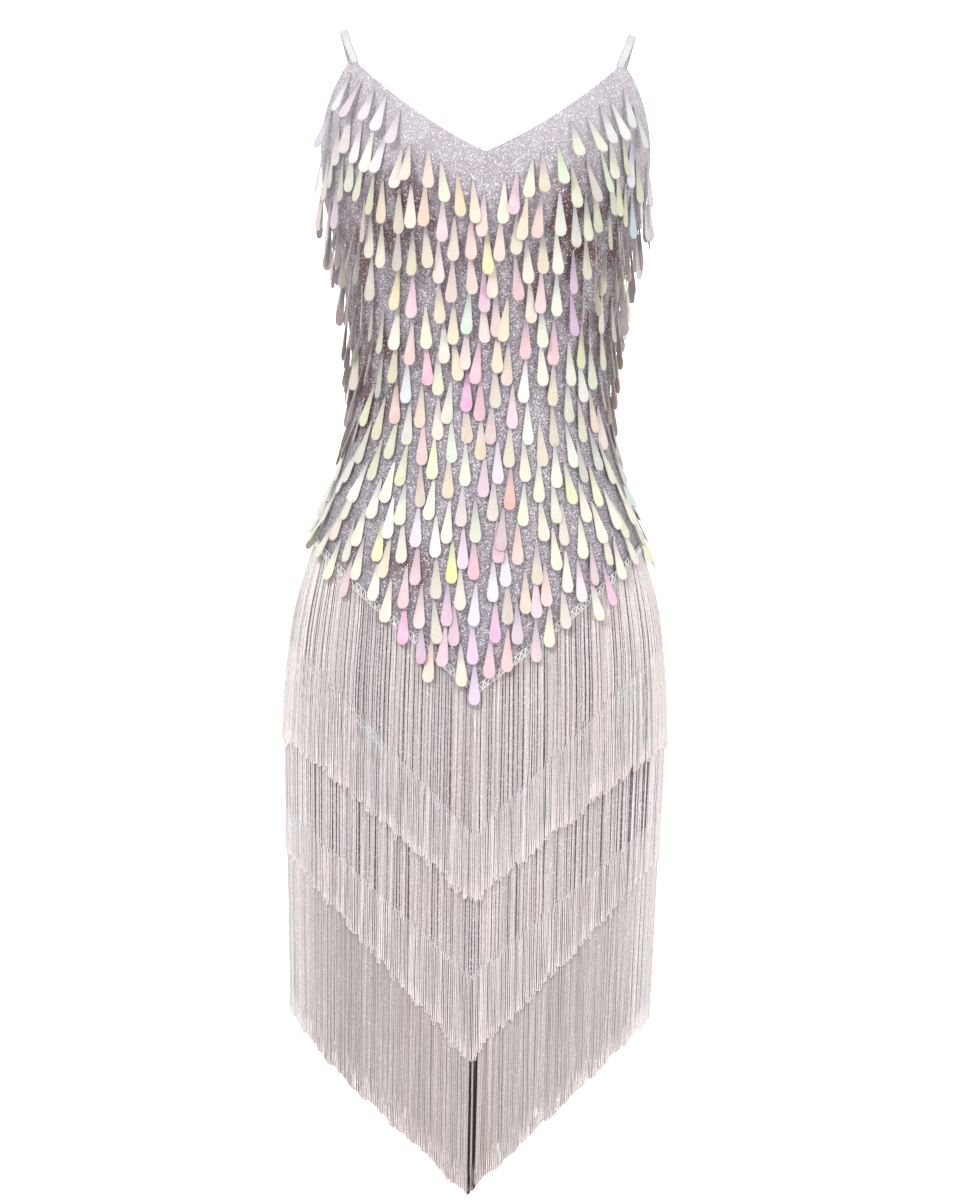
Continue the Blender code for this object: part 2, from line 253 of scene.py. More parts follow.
class Shader:
    """One material's node tree, with short calls to fill it."""

    def __init__(self, name: str) -> None:
        """Starts a material that holds a Principled shader and the object's own coordinates."""
        self.material = bpy.data.materials.new(name)
        self.material.use_nodes = True
        self.tree = self.material.node_tree
        self.surface = self.tree.nodes["Principled BSDF"]
        self.place = self.node("TexCoord").outputs["Object"]

    def node(
        self, kind: str, values: dict[str | int, Value] | None = None, **settings: str | bool
    ) -> bpy.types.Node:
        """Adds a node.

        Args:
            kind: The node's type, without its ShaderNode prefix.
            values: Input values or sockets to link, by input name or number.
            settings: Properties of the node.

        Returns:
            The new node.
        """
        made = self.tree.nodes.new("ShaderNode" + kind)
        for key, value in settings.items():
            setattr(made, key, value)
        for key, value in (values or {}).items():
            self.feed(made.inputs[key], value)
        return made

    def feed(self, socket: Socket, value: Value) -> None:
        """Links a socket to another one, or sets its value."""
        if isinstance(value, Socket):
            self.tree.links.new(value, socket)
        else:
            socket.default_value = value

    def set(self, **values: Value) -> None:
        """Sets the Principled shader's inputs, whose spaces are written as underscores."""
        for key, value in values.items():
            self.feed(self.surface.inputs[key.replace("_", " ")], value)

    def maths(self, operation: str, first: Value, second: Value = 0.0, clamped: bool = True) -> Socket:
        """One sum, product or comparison of two values, or a function of the first."""
        node = self.node("Math", {0: first, 1: second}, operation=operation, use_clamp=clamped)
        return node.outputs[0]

    def part(self, value: Value, share: Value) -> Socket:
        """Product of two shares."""
        return self.maths("MULTIPLY", value, share)

    def product(self, value: Value, factor: Value) -> Socket:
        """Product of two values, not clamped."""
        return self.maths("MULTIPLY", value, factor, False)

    def ramp(self, value: Value, low: float, high: float) -> Socket:
        """Value spread from 0 at low to 1 at high, clamped."""
        return self.node("MapRange", {0: value, 1: low, 2: high}).outputs[0]

    def mix(self, share: Value, first: Value, second: Value, blend: str = "MIX") -> Socket:
        """Colour between two others."""
        node = self.node("Mix", {"Factor": share}, data_type="RGBA", blend_type=blend)
        self.feed(node.inputs[6], first)
        self.feed(node.inputs[7], second)
        return node.outputs[2]

    def times(self, first: Value, second: Value) -> Socket:
        """Product of two colours."""
        return self.mix(1.0, first, second, "MULTIPLY")

    def noise(self, scale: float, vector: Socket | None = None, detail: float = 2.0) -> Socket:
        """Grey value of a soft noise, in the object's coordinates where no others are given."""
        values = {"Vector": self.place if vector is None else vector, "Scale": scale, "Detail": detail}
        return self.node("TexNoise", values).outputs["Fac"]

    def cells(self, scale: float) -> bpy.types.NodeOutputs:
        """Three chance numbers for each cell of a Voronoi pattern."""
        pattern = self.node("TexVoronoi", {"Vector": self.place, "Scale": scale})
        return self.node("SeparateColor", {0: pattern.outputs["Color"]}).outputs

    def bump(self, height: Socket, distance: float, strength: float, under: Socket | None = None) -> Socket:
        """Normal of a relief, laid over another one where that is given."""
        values = {"Height": height, "Distance": distance, "Strength": strength}
        if under is not None:
            values["Normal"] = under
        return self.node("Bump", values).outputs[0]

    def attribute(self, name: str) -> Socket:
        """Colour stored on the mesh under that name."""
        return self.node("Attribute", attribute_name=name).outputs["Color"]

    def uv(self) -> Socket:
        """The piece's own pair of surface coordinates."""
        return self.node("UVMap", uv_map="surface").outputs[0]


@dataclass(frozen=True)
class KnitFinish:
    """Fine lilac knit with silver glitter."""

    base: tuple = (0.36, 0.325, 0.37, 1.0)
    light: tuple = (0.68, 0.64, 0.70, 1.0)
    dark: tuple = (0.18, 0.145, 0.17, 1.0)
    # Painted shade: mauve-brown where the teardrops, the bust and the fringe shade the knit
    painted_shade: tuple = (0.17, 0.095, 0.10, 1.0)
    # Painted light: paler colour of the knit at the top, where the light from above falls most
    lit_top: tuple = (0.86, 0.80, 0.86, 1.0)
    spark: tuple = (0.98, 0.97, 1.00, 1.0)
    cell_scale: float = 900.0
    flake_scale: float = 1250.0
    flake_rarity: float = 0.93
    mottle_scale: float = 820.0
    cloud_scale: float = 70.0
    cloud_stretch: tuple = (1.0, 1.0, 0.4)
    stitch: float = 0.0016
    relief: float = 0.0004

    # Noise values between which the mottling and the painted shade come in
    mottle_range: tuple = (0.32, 0.56)
    cloud_range: tuple = (0.40, 0.58)

    # Heights between which the painted light of the upper part comes in, and its share at the top
    lit_top_range: tuple = (-0.20, -0.09)
    lit_top_share: float = 0.40

    # Roughness of the yarn and of a flake, as greys
    dull: tuple = (0.6, 0.6, 0.6, 1.0)
    glossy: tuple = (0.32, 0.32, 0.32, 1.0)

    def material(self) -> Finish:
        """Knit stitches in the relief with painted shade in their low parts, a random shade for each fleck,
        painted light towards the top, painted shade in patches from the mesh, and a few bright flakes.
        """
        s = Shader("glitter_knit")
        chance = s.cells(self.cell_scale)
        mottle = s.noise(self.mottle_scale)
        stretched = s.node("Mapping", {"Vector": s.place, "Scale": self.cloud_stretch}).outputs[0]
        cloud = s.noise(self.cloud_scale, stretched)
        stitches = self.stitches(s)
        height = s.node("SeparateXYZ", {0: s.place}).outputs[2]
        shade = s.mix(s.ramp(mottle, *self.mottle_range), self.dark, self.base)
        shade = s.mix(s.ramp(chance[1], 0.5, 1.0), shade, self.light)
        # Painted shade in the low parts of the stitch relief
        shade = s.mix(s.part(s.ramp(stitches, 0.0, -1.0), 0.5), shade, self.dark)
        # Painted light towards the top
        shade = s.mix(s.part(s.ramp(height, *self.lit_top_range), self.lit_top_share), shade, self.lit_top)
        # Painted shade in the patches stored on the mesh, broken up by a cloud noise
        shade = s.mix(s.part(s.ramp(cloud, *self.cloud_range), s.attribute("painted_shade")), shade, self.painted_shade)
        flake = s.maths("GREATER_THAN", s.cells(self.flake_scale)[0], self.flake_rarity)
        s.set(Base_Color=s.mix(flake, shade, self.spark), Roughness=s.mix(flake, self.dull, self.glossy))
        s.set(Metallic=s.part(flake, 0.2), Sheen_Weight=0.3, Sheen_Roughness=0.4)
        grain = s.maths("ADD", mottle, s.part(chance[2], 0.5))
        s.set(Normal=s.bump(grain, self.relief, 0.5, s.bump(stitches, self.relief, 0.4)))
        return s.material

    def stitches(self, s: Shader) -> Socket:
        """Height of the knit: a sine across its wales times one along its courses."""
        pair = s.node("SeparateXYZ", {0: s.uv()}).outputs
        turn = 2.0 * math.pi / self.stitch
        wale, course = (s.maths("SINE", s.product(pair[k], turn), clamped=False) for k in range(2))
        return s.product(wale, course)


@dataclass(frozen=True)
class PailletteFinish:
    """Pearly film: each piece's own pastel, with painted shade towards the hole and a painted dark outline
    along the rim.
    """

    # Painted shade: greyer colour near the hole, where the teardrop above shades it, and along the dark
    # outline
    shade: tuple = (0.42, 0.38, 0.42, 1.0)
    pearl: tuple = (0.9, 0.88, 0.92, 1.0)
    speck: tuple = (0.88, 0.88, 0.90, 1.0)
    roughness: float = 0.42
    grain_scale: float = 520.0
    wave_scale: float = 60.0
    streak_scale: float = 2.0
    streak_stretch: tuple = (7.0, 0.7, 1.0)

    # Share of the length from the hole that gets painted shade, and where the painted dark outline of the
    # rim and tip begins
    painted_shade_length: float = 0.6
    rim_from: float = 0.40
    tip_from: float = 0.96

    def material(self) -> Finish:
        """Tint from the mesh, with painted shade near the top of each teardrop and a painted dark outline at
        its rim and tip, a soft grain and a coat.
        """
        s = Shader("pearl_film")
        surface = s.uv()
        across, down, _ = s.node("SeparateXYZ", {0: surface}).outputs
        grain, wave = s.noise(self.grain_scale), s.noise(self.wave_scale)
        streaked = s.node("Mapping", {"Vector": surface, "Scale": self.streak_stretch}).outputs[0]
        streak = s.noise(self.streak_scale, streaked, 1.0)
        film = s.mix(s.part(s.ramp(wave, 0.45, 0.75), 0.3), s.attribute("tint"), self.pearl)
        # Painted shade near the hole, where the teardrop above shades it
        film = s.mix(s.part(s.ramp(down, self.painted_shade_length, 0.0), 0.5), film, self.shade)
        # Painted shadow as a dark outline along the rim and at the tip
        off = s.maths("SUBTRACT", s.maths("FRACT", across, clamped=False), 0.5, False)
        rim = s.ramp(s.maths("ABSOLUTE", off, clamped=False), self.rim_from, 0.50)
        rim = s.maths("ADD", rim, s.ramp(down, self.tip_from, 1.0))
        film = s.mix(s.part(rim, 0.35), film, self.shade)
        speck = s.maths("ADD", s.product(grain, 0.6), s.product(streak, 0.5))
        s.set(Base_Color=s.times(film, s.mix(s.ramp(speck, 0.35, 0.75), self.speck, WHITE)))
        s.set(Roughness=self.roughness, Metallic=0.05, Coat_Weight=0.2, Coat_Roughness=0.25)
        s.set(Normal=s.bump(grain, 0.0002, 0.2))
        return s.material


@dataclass(frozen=True)
class BeadFinish:
    """Tiny silver lined glass beads."""

    colour: tuple = (0.88, 0.87, 0.90, 1.0)
    dark: tuple = (0.6, 0.58, 0.63, 1.0)
    grain_scale: float = 700.0

    def material(self) -> Finish:
        """Bright metal with a faint grain, so that no two beads catch the light alike."""
        s = Shader("silver_bead")
        tone = s.mix(s.ramp(s.noise(self.grain_scale), 0.3, 0.7), self.dark, self.colour)
        s.set(Base_Color=tone, Roughness=0.18, Metallic=0.85)
        return s.material


@dataclass(frozen=True)
class YarnFinish:
    """Silky yarn of the fringe and braids."""

    name: str
    colour: tuple
    roughness: float = 0.42
    twist: float = 900.0
    # Painted shade in the low parts of the twist
    twist_shade: tuple = (0.74, 0.71, 0.71, 1.0)
    fleck_scale: float = 800.0
    fleck_rarity: float = 0.95
    fleck_gain: tuple = (1.15, 1.15, 1.15, 1.0)

    def material(self) -> Finish:
        """Yarn colour times the strand's own tint, with the twist as fine relief and painted shade in its
        low parts, and a few bright flecks.
        """
        s = Shader(self.name)
        fibres = s.noise(self.twist)
        tone = s.times(s.attribute("tint"), self.colour)
        soft = s.mix(s.ramp(fibres, 0.35, 0.6), self.twist_shade, WHITE)
        fleck = s.maths("GREATER_THAN", s.cells(self.fleck_scale)[0], self.fleck_rarity)
        s.set(Base_Color=s.mix(fleck, s.times(tone, soft), s.times(tone, self.fleck_gain)))
        s.set(Roughness=self.roughness, Sheen_Weight=0.35, Sheen_Roughness=0.35, Sheen_Tint=tone)
        s.set(Normal=s.bump(fibres, 0.0003, 0.5))
        return s.material


@dataclass(frozen=True)
class StrapFinish:
    """Clear soft plastic strap with a milky tint."""

    colour: tuple = (0.95, 0.95, 0.97, 1.0)
    milky: tuple = (0.86, 0.86, 0.89, 1.0)
    streak_scale: float = 160.0

    def material(self) -> Finish:
        """Smooth, half see-through plastic, darker along its edges as painted shade, with faint streaks."""
        s = Shader("clear_strap")
        tone = s.mix(s.ramp(s.noise(self.streak_scale), 0.35, 0.7), self.milky, self.colour)
        s.set(Base_Color=s.times(tone, s.attribute("tint")))
        s.set(Roughness=0.16, Transmission_Weight=0.15, IOR=1.45)
        return s.material


# Form of the dress


@dataclass
class Crease:
    """Soft line pressed into the cloth: from one end to the other, as wide and deep as stated."""

    side: Side
    start: tuple[float, float]
    end: tuple[float, float]
    width: float
    depth: float

    def push(self, x: Array, z: Array) -> Array:
        """How far points move outwards: a Gaussian across the line that fades at both ends."""
        line = np.subtract(self.end, self.start)
        size = float(np.hypot(*line))
        t = ((x - self.start[0]) * line[0] + (z - self.start[1]) * line[1]) / size**2
        off = ((x - self.start[0]) * line[1] - (z - self.start[1]) * line[0]) / size
        fade = np.sin(np.clip(t, 0.0, 1.0) * math.pi) ** 0.8
        return -self.depth * np.exp(-((off / self.width) ** 2)) * fade


@dataclass
class DressForm:
    """Hollow shape that every piece of the dress lies on."""

    # Height, half width, depth in front of the side seam, depth behind it
    sections: tuple = (
        (-0.020, 0.1560, 0.0880, 0.0960),
        (-0.080, 0.1552, 0.1030, 0.1040),
        (-0.120, 0.1515, 0.1100, 0.1060),
        (-0.152, 0.1490, 0.1120, 0.1045),
        (-0.190, 0.1390, 0.1060, 0.0990),
        (-0.228, 0.1295, 0.0990, 0.0910),
        (-0.265, 0.1240, 0.0940, 0.0830),
        (-0.302, 0.1200, 0.0900, 0.0780),
        (-0.350, 0.1190, 0.0885, 0.0770),
        (-0.394, 0.1265, 0.0920, 0.0860),
        (-0.430, 0.1370, 0.0965, 0.0980),
        (-0.467, 0.1480, 0.1010, 0.1100),
        (-0.505, 0.1575, 0.1045, 0.1190),
        (-0.560, 0.1645, 0.1065, 0.1230),
        (-0.605, 0.1685, 0.1070, 0.1220),
        (-0.650, 0.1700, 0.1065, 0.1185),
        (-0.718, 0.1675, 0.1050, 0.1150),
        (-0.800, 0.1640, 0.1030, 0.1120),
        (-0.900, 0.1600, 0.1005, 0.1090),
        (-1.060, 0.1560, 0.0980, 0.1060),
    )
    roundness: float = 2.3
    seam_gap: float = 0.0003
    cup_x: float = 0.080
    cup_z: float = -0.150
    cup_swell: float = 0.015
    cup_spread_x: float = 0.045
    cup_spread_up: float = 0.062
    cup_spread_down: float = 0.040

    # Move of hanging things towards the body for each unit of fall
    lean: float = 0.035

    def column(self, z: Array, which: int) -> Array:
        """Values of one column of the sections at heights z, on a smooth cubic through the rows."""
        rows = np.array(self.sections)[::-1]
        heights, values = rows[:, 0], rows[:, which]
        slopes = np.gradient(values, heights)
        z = np.clip(z, heights[0], heights[-1])
        low = np.clip(np.searchsorted(heights, z) - 1, 0, len(heights) - 2)
        span = heights[low + 1] - heights[low]
        s = (z - heights[low]) / span
        rise = ease(s)
        bend = s * (1.0 - s) ** 2 * span * slopes[low] + s * s * (s - 1.0) * span * slopes[low + 1]
        return values[low] * (1.0 - rise) + values[low + 1] * rise + bend

    def half_width(self, z: Array) -> Array:
        """Half width of the outside of the cloth."""
        return self.column(z, 1)

    def depth(self, z: Array, side: Side) -> Array:
        """Depth of one half of the cloth from the side seam."""
        return self.column(z, 2 if side is Side.FRONT else 3)

    def across(self, u: Array) -> Array:
        """Share of the half width reached at u: a power of the sine of a quarter turn times u."""
        angle = np.clip(u, -1.0, 1.0) * math.pi / 2.0
        return np.sign(angle) * np.abs(np.sin(angle)) ** (2.0 / self.roundness)

    def cup(self, x: Array, z: Array) -> Array:
        """How far the bust cups push the front out: a Gaussian mound each side of the centre."""
        spread = np.where(z > self.cup_z, self.cup_spread_up, self.cup_spread_down)
        spots = ((place, self.cup_z, self.cup_spread_x, spread, 1.0) for place in (-self.cup_x, self.cup_x))
        return self.cup_swell * sum(patch(x, z, spot) for spot in spots)

    def point(self, u: Array, z: Array, side: Side, out: Array | float = 0.0) -> Array:
        """Points of the dress.

        Args:
            u: From -1 at the left seam over 0 at the centre to 1 at the right seam.
            z: Heights.
            side: Front or back.
            out: Distance out from the cloth's outside.

        Returns:
            Points: the superellipse at that height, widened by out, with the cups in front.
        """
        forward = np.abs(np.cos(np.clip(u, -1.0, 1.0) * math.pi / 2.0)) ** (2.0 / self.roundness)
        forward = np.where(np.abs(u) > 1.0 - 1e-9, 0.0, forward)
        x = (self.half_width(z) + out) * self.across(u)
        y = side.value * ((self.depth(z, side) + out) * forward + self.seam_gap / 2.0)
        if side is Side.FRONT:
            y = y - self.cup(x, z) * np.sqrt(forward)
        return np.stack(np.broadcast_arrays(x, y, z), axis=-1)

    def outward(
        self, x: Array, y: Array, z: Array, side: Side, out: Array | float = 0.0
    ) -> tuple[Array, Array, Array]:
        """Horizontal unit normal of a section, and how far each point is inside it.

        Args:
            x: Places along X.
            y: Places along Y.
            z: Heights.
            side: Front or back.
            out: Distance of the section from the cloth's outside.

        Returns:
            The normal's X and Y, and the depth inside, which is negative outside.
        """
        a = self.half_width(z) + out
        d = self.depth(z, side) + out
        if side is Side.FRONT:
            d = d + self.cup(x, z)
        share = np.abs(x) / a
        forward = np.maximum(side.value * y - self.seam_gap / 2.0, 0.0) / d
        power = self.roundness
        level = np.maximum((share**power + forward**power) ** (1.0 / power), 1e-6)
        gx = np.sign(x) * (share / level) ** (power - 1.0) / a
        gy = side.value * (forward / level) ** (power - 1.0) / d
        size = np.hypot(gx, gy)
        return gx / size, gy / size, (1.0 - level) / size

    def normal(self, points: Array, side: Side) -> Array:
        """Horizontal outward normals at points."""
        nx, ny, _ = self.outward(points[..., 0], points[..., 1], points[..., 2], side)
        return np.stack([nx, ny, np.zeros_like(nx)], axis=-1)

    def facing(self, u: Array, z: Array, side: Side) -> Array:
        """Outward unit normals of the form in three dimensions, from steps along and up it."""
        step_u, step_z = 0.01, 0.004
        along = self.point(u + step_u, z, side) - self.point(u - step_u, z, side)
        up = self.point(u, z + step_z, side) - self.point(u, z - step_z, side)
        return unit(np.cross(along, up)) * -side.value

    def u_at_arc(self, arc: Array, z: Array, side: Side) -> Array:
        """The u at signed distances along the cloth from the centre line, at heights z."""
        steps = np.linspace(0.0, 1.0, 161)
        rings = self.point(steps[None, :], z[:, None], side)[..., :2]
        found = [np.interp(a, row, steps, right=2.0) for a, row in zip(np.abs(arc), distances(rings))]
        return np.sign(arc) * np.array(found)

    def hang(self, start: Array, drops: Array, side: Side, target: Array) -> Array:
        """Paths of limp things that hang from the cloth.

        Each falls straight down, but for a slight lean towards the body, and is pushed out along the
        section's normal where the layer below is wider.

        Args:
            start: First points, one each.
            drops: Depths below the start, strands by stations, growing.
            side: Front or back.
            target: Distance out from the cloth to keep at each station, strands by stations.

        Returns:
            Points, strands by stations by 3.
        """
        x, y = start[:, 0].copy(), start[:, 1].copy()
        levels = []
        below = np.zeros(len(start))
        for k in range(drops.shape[1]):
            step = drops[:, k] - below
            below = drops[:, k]
            z = start[:, 2] - below
            nx, ny, _ = self.outward(x, y, z, side, target[:, k])
            x, y = x - nx * self.lean * step, y - ny * self.lean * step
            for _ in range(2):
                nx, ny, inside = self.outward(x, y, z, side, target[:, k])
                push = np.maximum(inside, 0.0)
                x, y = x + nx * push, y + ny * push
            levels.append(np.stack([x, y, z], axis=-1))
        return np.stack(levels, axis=1)


@dataclass
class Tier:
    """One V of fringe: heights of its braid's top and lengths, at the side seam and at the centre."""

    number: int
    side_z: float
    centre_z: float
    side_length: float
    centre_length: float
    stand_off: float
    layers: int
    pitch: float
    gap_share: float
    spread: float
    rise: float
    flare: float

    def braid_top(self, form: DressForm, u: Array) -> Array:
        """Height of the braid's top edge: a straight V as seen from the front."""
        return self.centre_z + (self.side_z - self.centre_z) * np.abs(form.across(u))

    def length(self, form: DressForm, u: Array) -> Array:
        """Length of the fringe below the braid."""
        return self.centre_length + (self.side_length - self.centre_length) * np.abs(form.across(u))


BRAID_HEIGHT = 0.008
TIERS = (
    Tier(1, -0.4670, -0.6000, 0.176, 0.184, 0.0054, 2, 0.0015, 0.60, 0.0020, 0.085, 0.0016),
    Tier(2, -0.5640, -0.7343, 0.181, 0.194, 0.0036, 2, 0.0015, 0.56, 0.0020, 0.030, 0.0012),
    Tier(3, -0.7176, -0.8620, 0.174, 0.187, 0.0000, 4, 0.0019, 0.00, 0.0007, 0.030, 0.0),
)


@dataclass
class Panel:
    """Front or back of the dress, one thin shell of knit from its top edge to the V hem."""

    form: DressForm
    side: Side
    cloth: float = 0.0011
    cut_areas: tuple = (0.290, 0.272)
    rows: int = 170
    columns: int = 97
    neck_z: float = -0.1185
    point_z: float = -0.0370
    point_x: float = 0.1225
    point_width: float = 0.0085
    neck_straight_share: float = 0.62
    underarm_z: float = -0.1220
    back_point_z: float = -0.1060
    back_point_x: float = 0.1000
    back_scoop_z: float = -0.1460
    edge_fold: float = 0.007
    edge_rise: float = 0.0005
    ripple: float = 0.0004
    seam_calm: float = 0.08
    inner_share: float = 0.52
    crowding: float = 1.2

    # Painted shade of the cloth all over, as the teardrops would cast it, and what comes on top of it under
    # the fringe, which shades the cloth there
    plain_painted_shade: float = 0.10
    fringe_painted_shade: float = 0.30

    # Patches of painted shade on the knit: place along X, height, half width, half height, strength
    front_painted_shade: tuple = (
        (-0.072, -0.158, 0.038, 0.040, 0.74),
        (-0.104, -0.212, 0.028, 0.046, 0.75),
        (-0.040, -0.205, 0.026, 0.030, 0.60),
        (0.076, -0.182, 0.036, 0.044, 1.00),
        (0.112, -0.228, 0.040, 0.062, 1.00),
        (-0.128, -0.290, 0.026, 0.060, 0.80),
        (-0.080, -0.300, 0.026, 0.040, 0.75),
        (-0.112, -0.355, 0.030, 0.036, 0.75),
        (0.132, -0.330, 0.022, 0.080, 0.65),
        (-0.060, -0.498, 0.034, 0.026, 0.70),
        (0.020, -0.565, 0.030, 0.022, 0.45),
    )
    back_painted_shade: tuple = (
        (-0.085, -0.230, 0.036, 0.060, 0.70),
        (0.092, -0.255, 0.034, 0.066, 0.75),
        (0.010, -0.330, 0.040, 0.040, 0.45),
        (-0.055, -0.500, 0.040, 0.030, 0.60),
    )

    def u_at(self, x: float, z: float) -> float:
        """The u at which the section at height z reaches x."""
        share = (x / float(self.form.half_width(np.array(z)))) ** (self.form.roundness / 2.0)
        return math.asin(share) * 2.0 / math.pi

    def strap_points(self) -> tuple[float, float]:
        """The u of the inner and the outer edge of this panel's strap point."""
        x, z = self.point_x, self.point_z
        if self.side is Side.BACK:
            x, z = self.back_point_x, self.back_point_z
        return self.u_at(x - self.point_width / 2.0, z), self.u_at(x + self.point_width / 2.0, z)

    def top(self, u: Array) -> Array:
        """Height of the top edge: neckline, strap point, then armhole down to the side seam."""
        inner, outer = self.strap_points()
        u = np.abs(u)
        t = ramp(u, outer, 1.0 - outer)
        soft = ease(t)
        if self.side is Side.BACK:
            s = ramp(u, 0.0, inner)
            scoop = self.back_scoop_z + (self.back_point_z - self.back_scoop_z) * s * s
            armhole = self.back_point_z + (self.underarm_z - self.back_point_z) * soft
            return np.where(u < inner, scoop, armhole)
        width = float(self.form.half_width(np.array(self.point_z)))
        s = np.clip(width * self.form.across(u) / (self.point_x - self.point_width / 2.0), 0.0, 1.0)
        rise = self.neck_straight_share * s + (1.0 - self.neck_straight_share) * s * s
        neck = self.neck_z + (self.point_z - self.neck_z) * rise
        fall = 0.5 * (soft + 0.3 * t * (1.0 - t) ** 2 + 0.6 * t * t * (t - 1.0))
        fall = fall + 0.5 * (1.0 - (1.0 - t) ** 1.6)
        return np.where(u < inner, neck, self.point_z + (self.underarm_z - self.point_z) * fall)

    def hem(self, u: Array) -> Array:
        """Height of the cloth hem, level with the bottom of the lowest braid."""
        return TIERS[2].braid_top(self.form, u) - BRAID_HEIGHT

    def creases(self) -> tuple[Crease, ...]:
        """The few soft creases of this half."""
        front, back = Side.FRONT, Side.BACK
        placed = (
            Crease(front, (0.048, -0.186), (0.112, -0.226), 0.006, 0.0022),
            Crease(front, (-0.052, -0.178), (-0.118, -0.214), 0.007, 0.0020),
            Crease(front, (0.020, -0.196), (0.062, -0.250), 0.008, 0.0014),
            Crease(front, (-0.018, -0.190), (-0.070, -0.246), 0.009, 0.0013),
            Crease(front, (-0.118, -0.330), (-0.060, -0.352), 0.008, 0.0011),
            Crease(front, (0.116, -0.352), (0.066, -0.362), 0.007, 0.0012),
            Crease(front, (0.118, -0.300), (0.080, -0.318), 0.006, 0.0009),
            Crease(back, (-0.112, -0.318), (-0.030, -0.342), 0.009, 0.0016),
            Crease(back, (0.114, -0.326), (0.040, -0.356), 0.008, 0.0014),
            Crease(back, (-0.090, -0.372), (0.010, -0.380), 0.010, 0.0012),
            Crease(back, (0.098, -0.200), (0.070, -0.262), 0.009, 0.0011),
            Crease(back, (-0.102, -0.188), (-0.072, -0.270), 0.010, 0.0012),
        )
        return tuple(c for c in placed if c.side is self.side)

    def painted_shade(self, x: Array, z: Array) -> Array:
        """How much painted shade the knit has at points: Gaussian patches, and brown painted shade all over
        under the fringe.
        """
        tier = TIERS[0]
        braid = tier.centre_z + (tier.side_z - tier.centre_z) * np.abs(x) / self.form.half_width(z)
        total = self.plain_painted_shade + self.fringe_painted_shade * ramp(braid - z, 0.0, 0.006)
        for spot in self.front_painted_shade if self.side is Side.FRONT else self.back_painted_shade:
            total = total + patch(x, z, spot)
        return np.clip(total, 0.0, 1.0)

    def outer(self, u: Array, z: Array, edge: Array) -> Array:
        """Outer points: the form, a folded rim along the top edge, the creases and a faint ripple."""
        base = self.form.point(u, z, self.side)
        out = self.edge_rise / (1.0 + np.exp(np.clip((edge - self.edge_fold) / 0.0006, -30.0, 30.0)))
        for crease in self.creases():
            out = out + crease.push(base[..., 0], z)
        x = base[..., 0]
        ripple = np.sin(61.0 * x + 9.0 * z) * np.sin(43.0 * z + 17.0 * x)
        quiet = ramp(np.abs(u), 1.0, -self.seam_calm)
        out = out * quiet + self.ripple * ripple * quiet
        return base + self.form.normal(base, self.side) * out[..., None]

    def columns_u(self) -> Array:
        """The u of the grid's columns, some of them on the edges of the strap points."""
        inner, outer = self.strap_points()
        half = self.columns // 2
        inside = np.linspace(0.0, inner, int(half * self.inner_share) + 1)
        across = np.linspace(inner, outer, 4)[1:]
        rest = half + 1 - len(inside) - len(across)
        right = np.concatenate([inside, across, np.linspace(outer, 1.0, rest + 1)[1:]])
        return np.concatenate([-right[:0:-1], right])

    def build(self, finish: Finish) -> Item:
        """Makes the panel, with the rows of its upper half closer together towards the top edge."""
        u = self.columns_u()
        v = np.linspace(0.0, 1.0, self.rows)[:, None]
        crowded = 1.0 - 2.0 * (1.0 - v) ** self.crowding * 0.5 ** (2.0 - self.crowding)
        v = np.where(v > 0.5, crowded, v)
        top = self.top(u)[None, :]
        z = self.hem(u)[None, :] * (1.0 - v) + top * v
        face = self.outer(np.broadcast_to(u, z.shape), z, top - z)
        lining = face - self.form.normal(face, self.side) * self.cloth
        points, faces = wall(face, lining)
        piece = make_piece(f"knit_{self.side.word}", points, self.side.facing(faces), finish)
        girth = distances(face)
        uv = np.stack([girth - girth[:, [self.columns // 2]], z], axis=-1).reshape(-1, 2)
        add_uv(piece, np.concatenate([uv, uv]))
        # Painted shade for the knit, stored on the mesh
        painted_shade = self.painted_shade(points[:, 0], points[:, 2])
        add_colour(piece, "painted_shade", np.repeat(painted_shade[:, None], 3, axis=1))
        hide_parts(f"{self.side.word}_panel")
        return piece


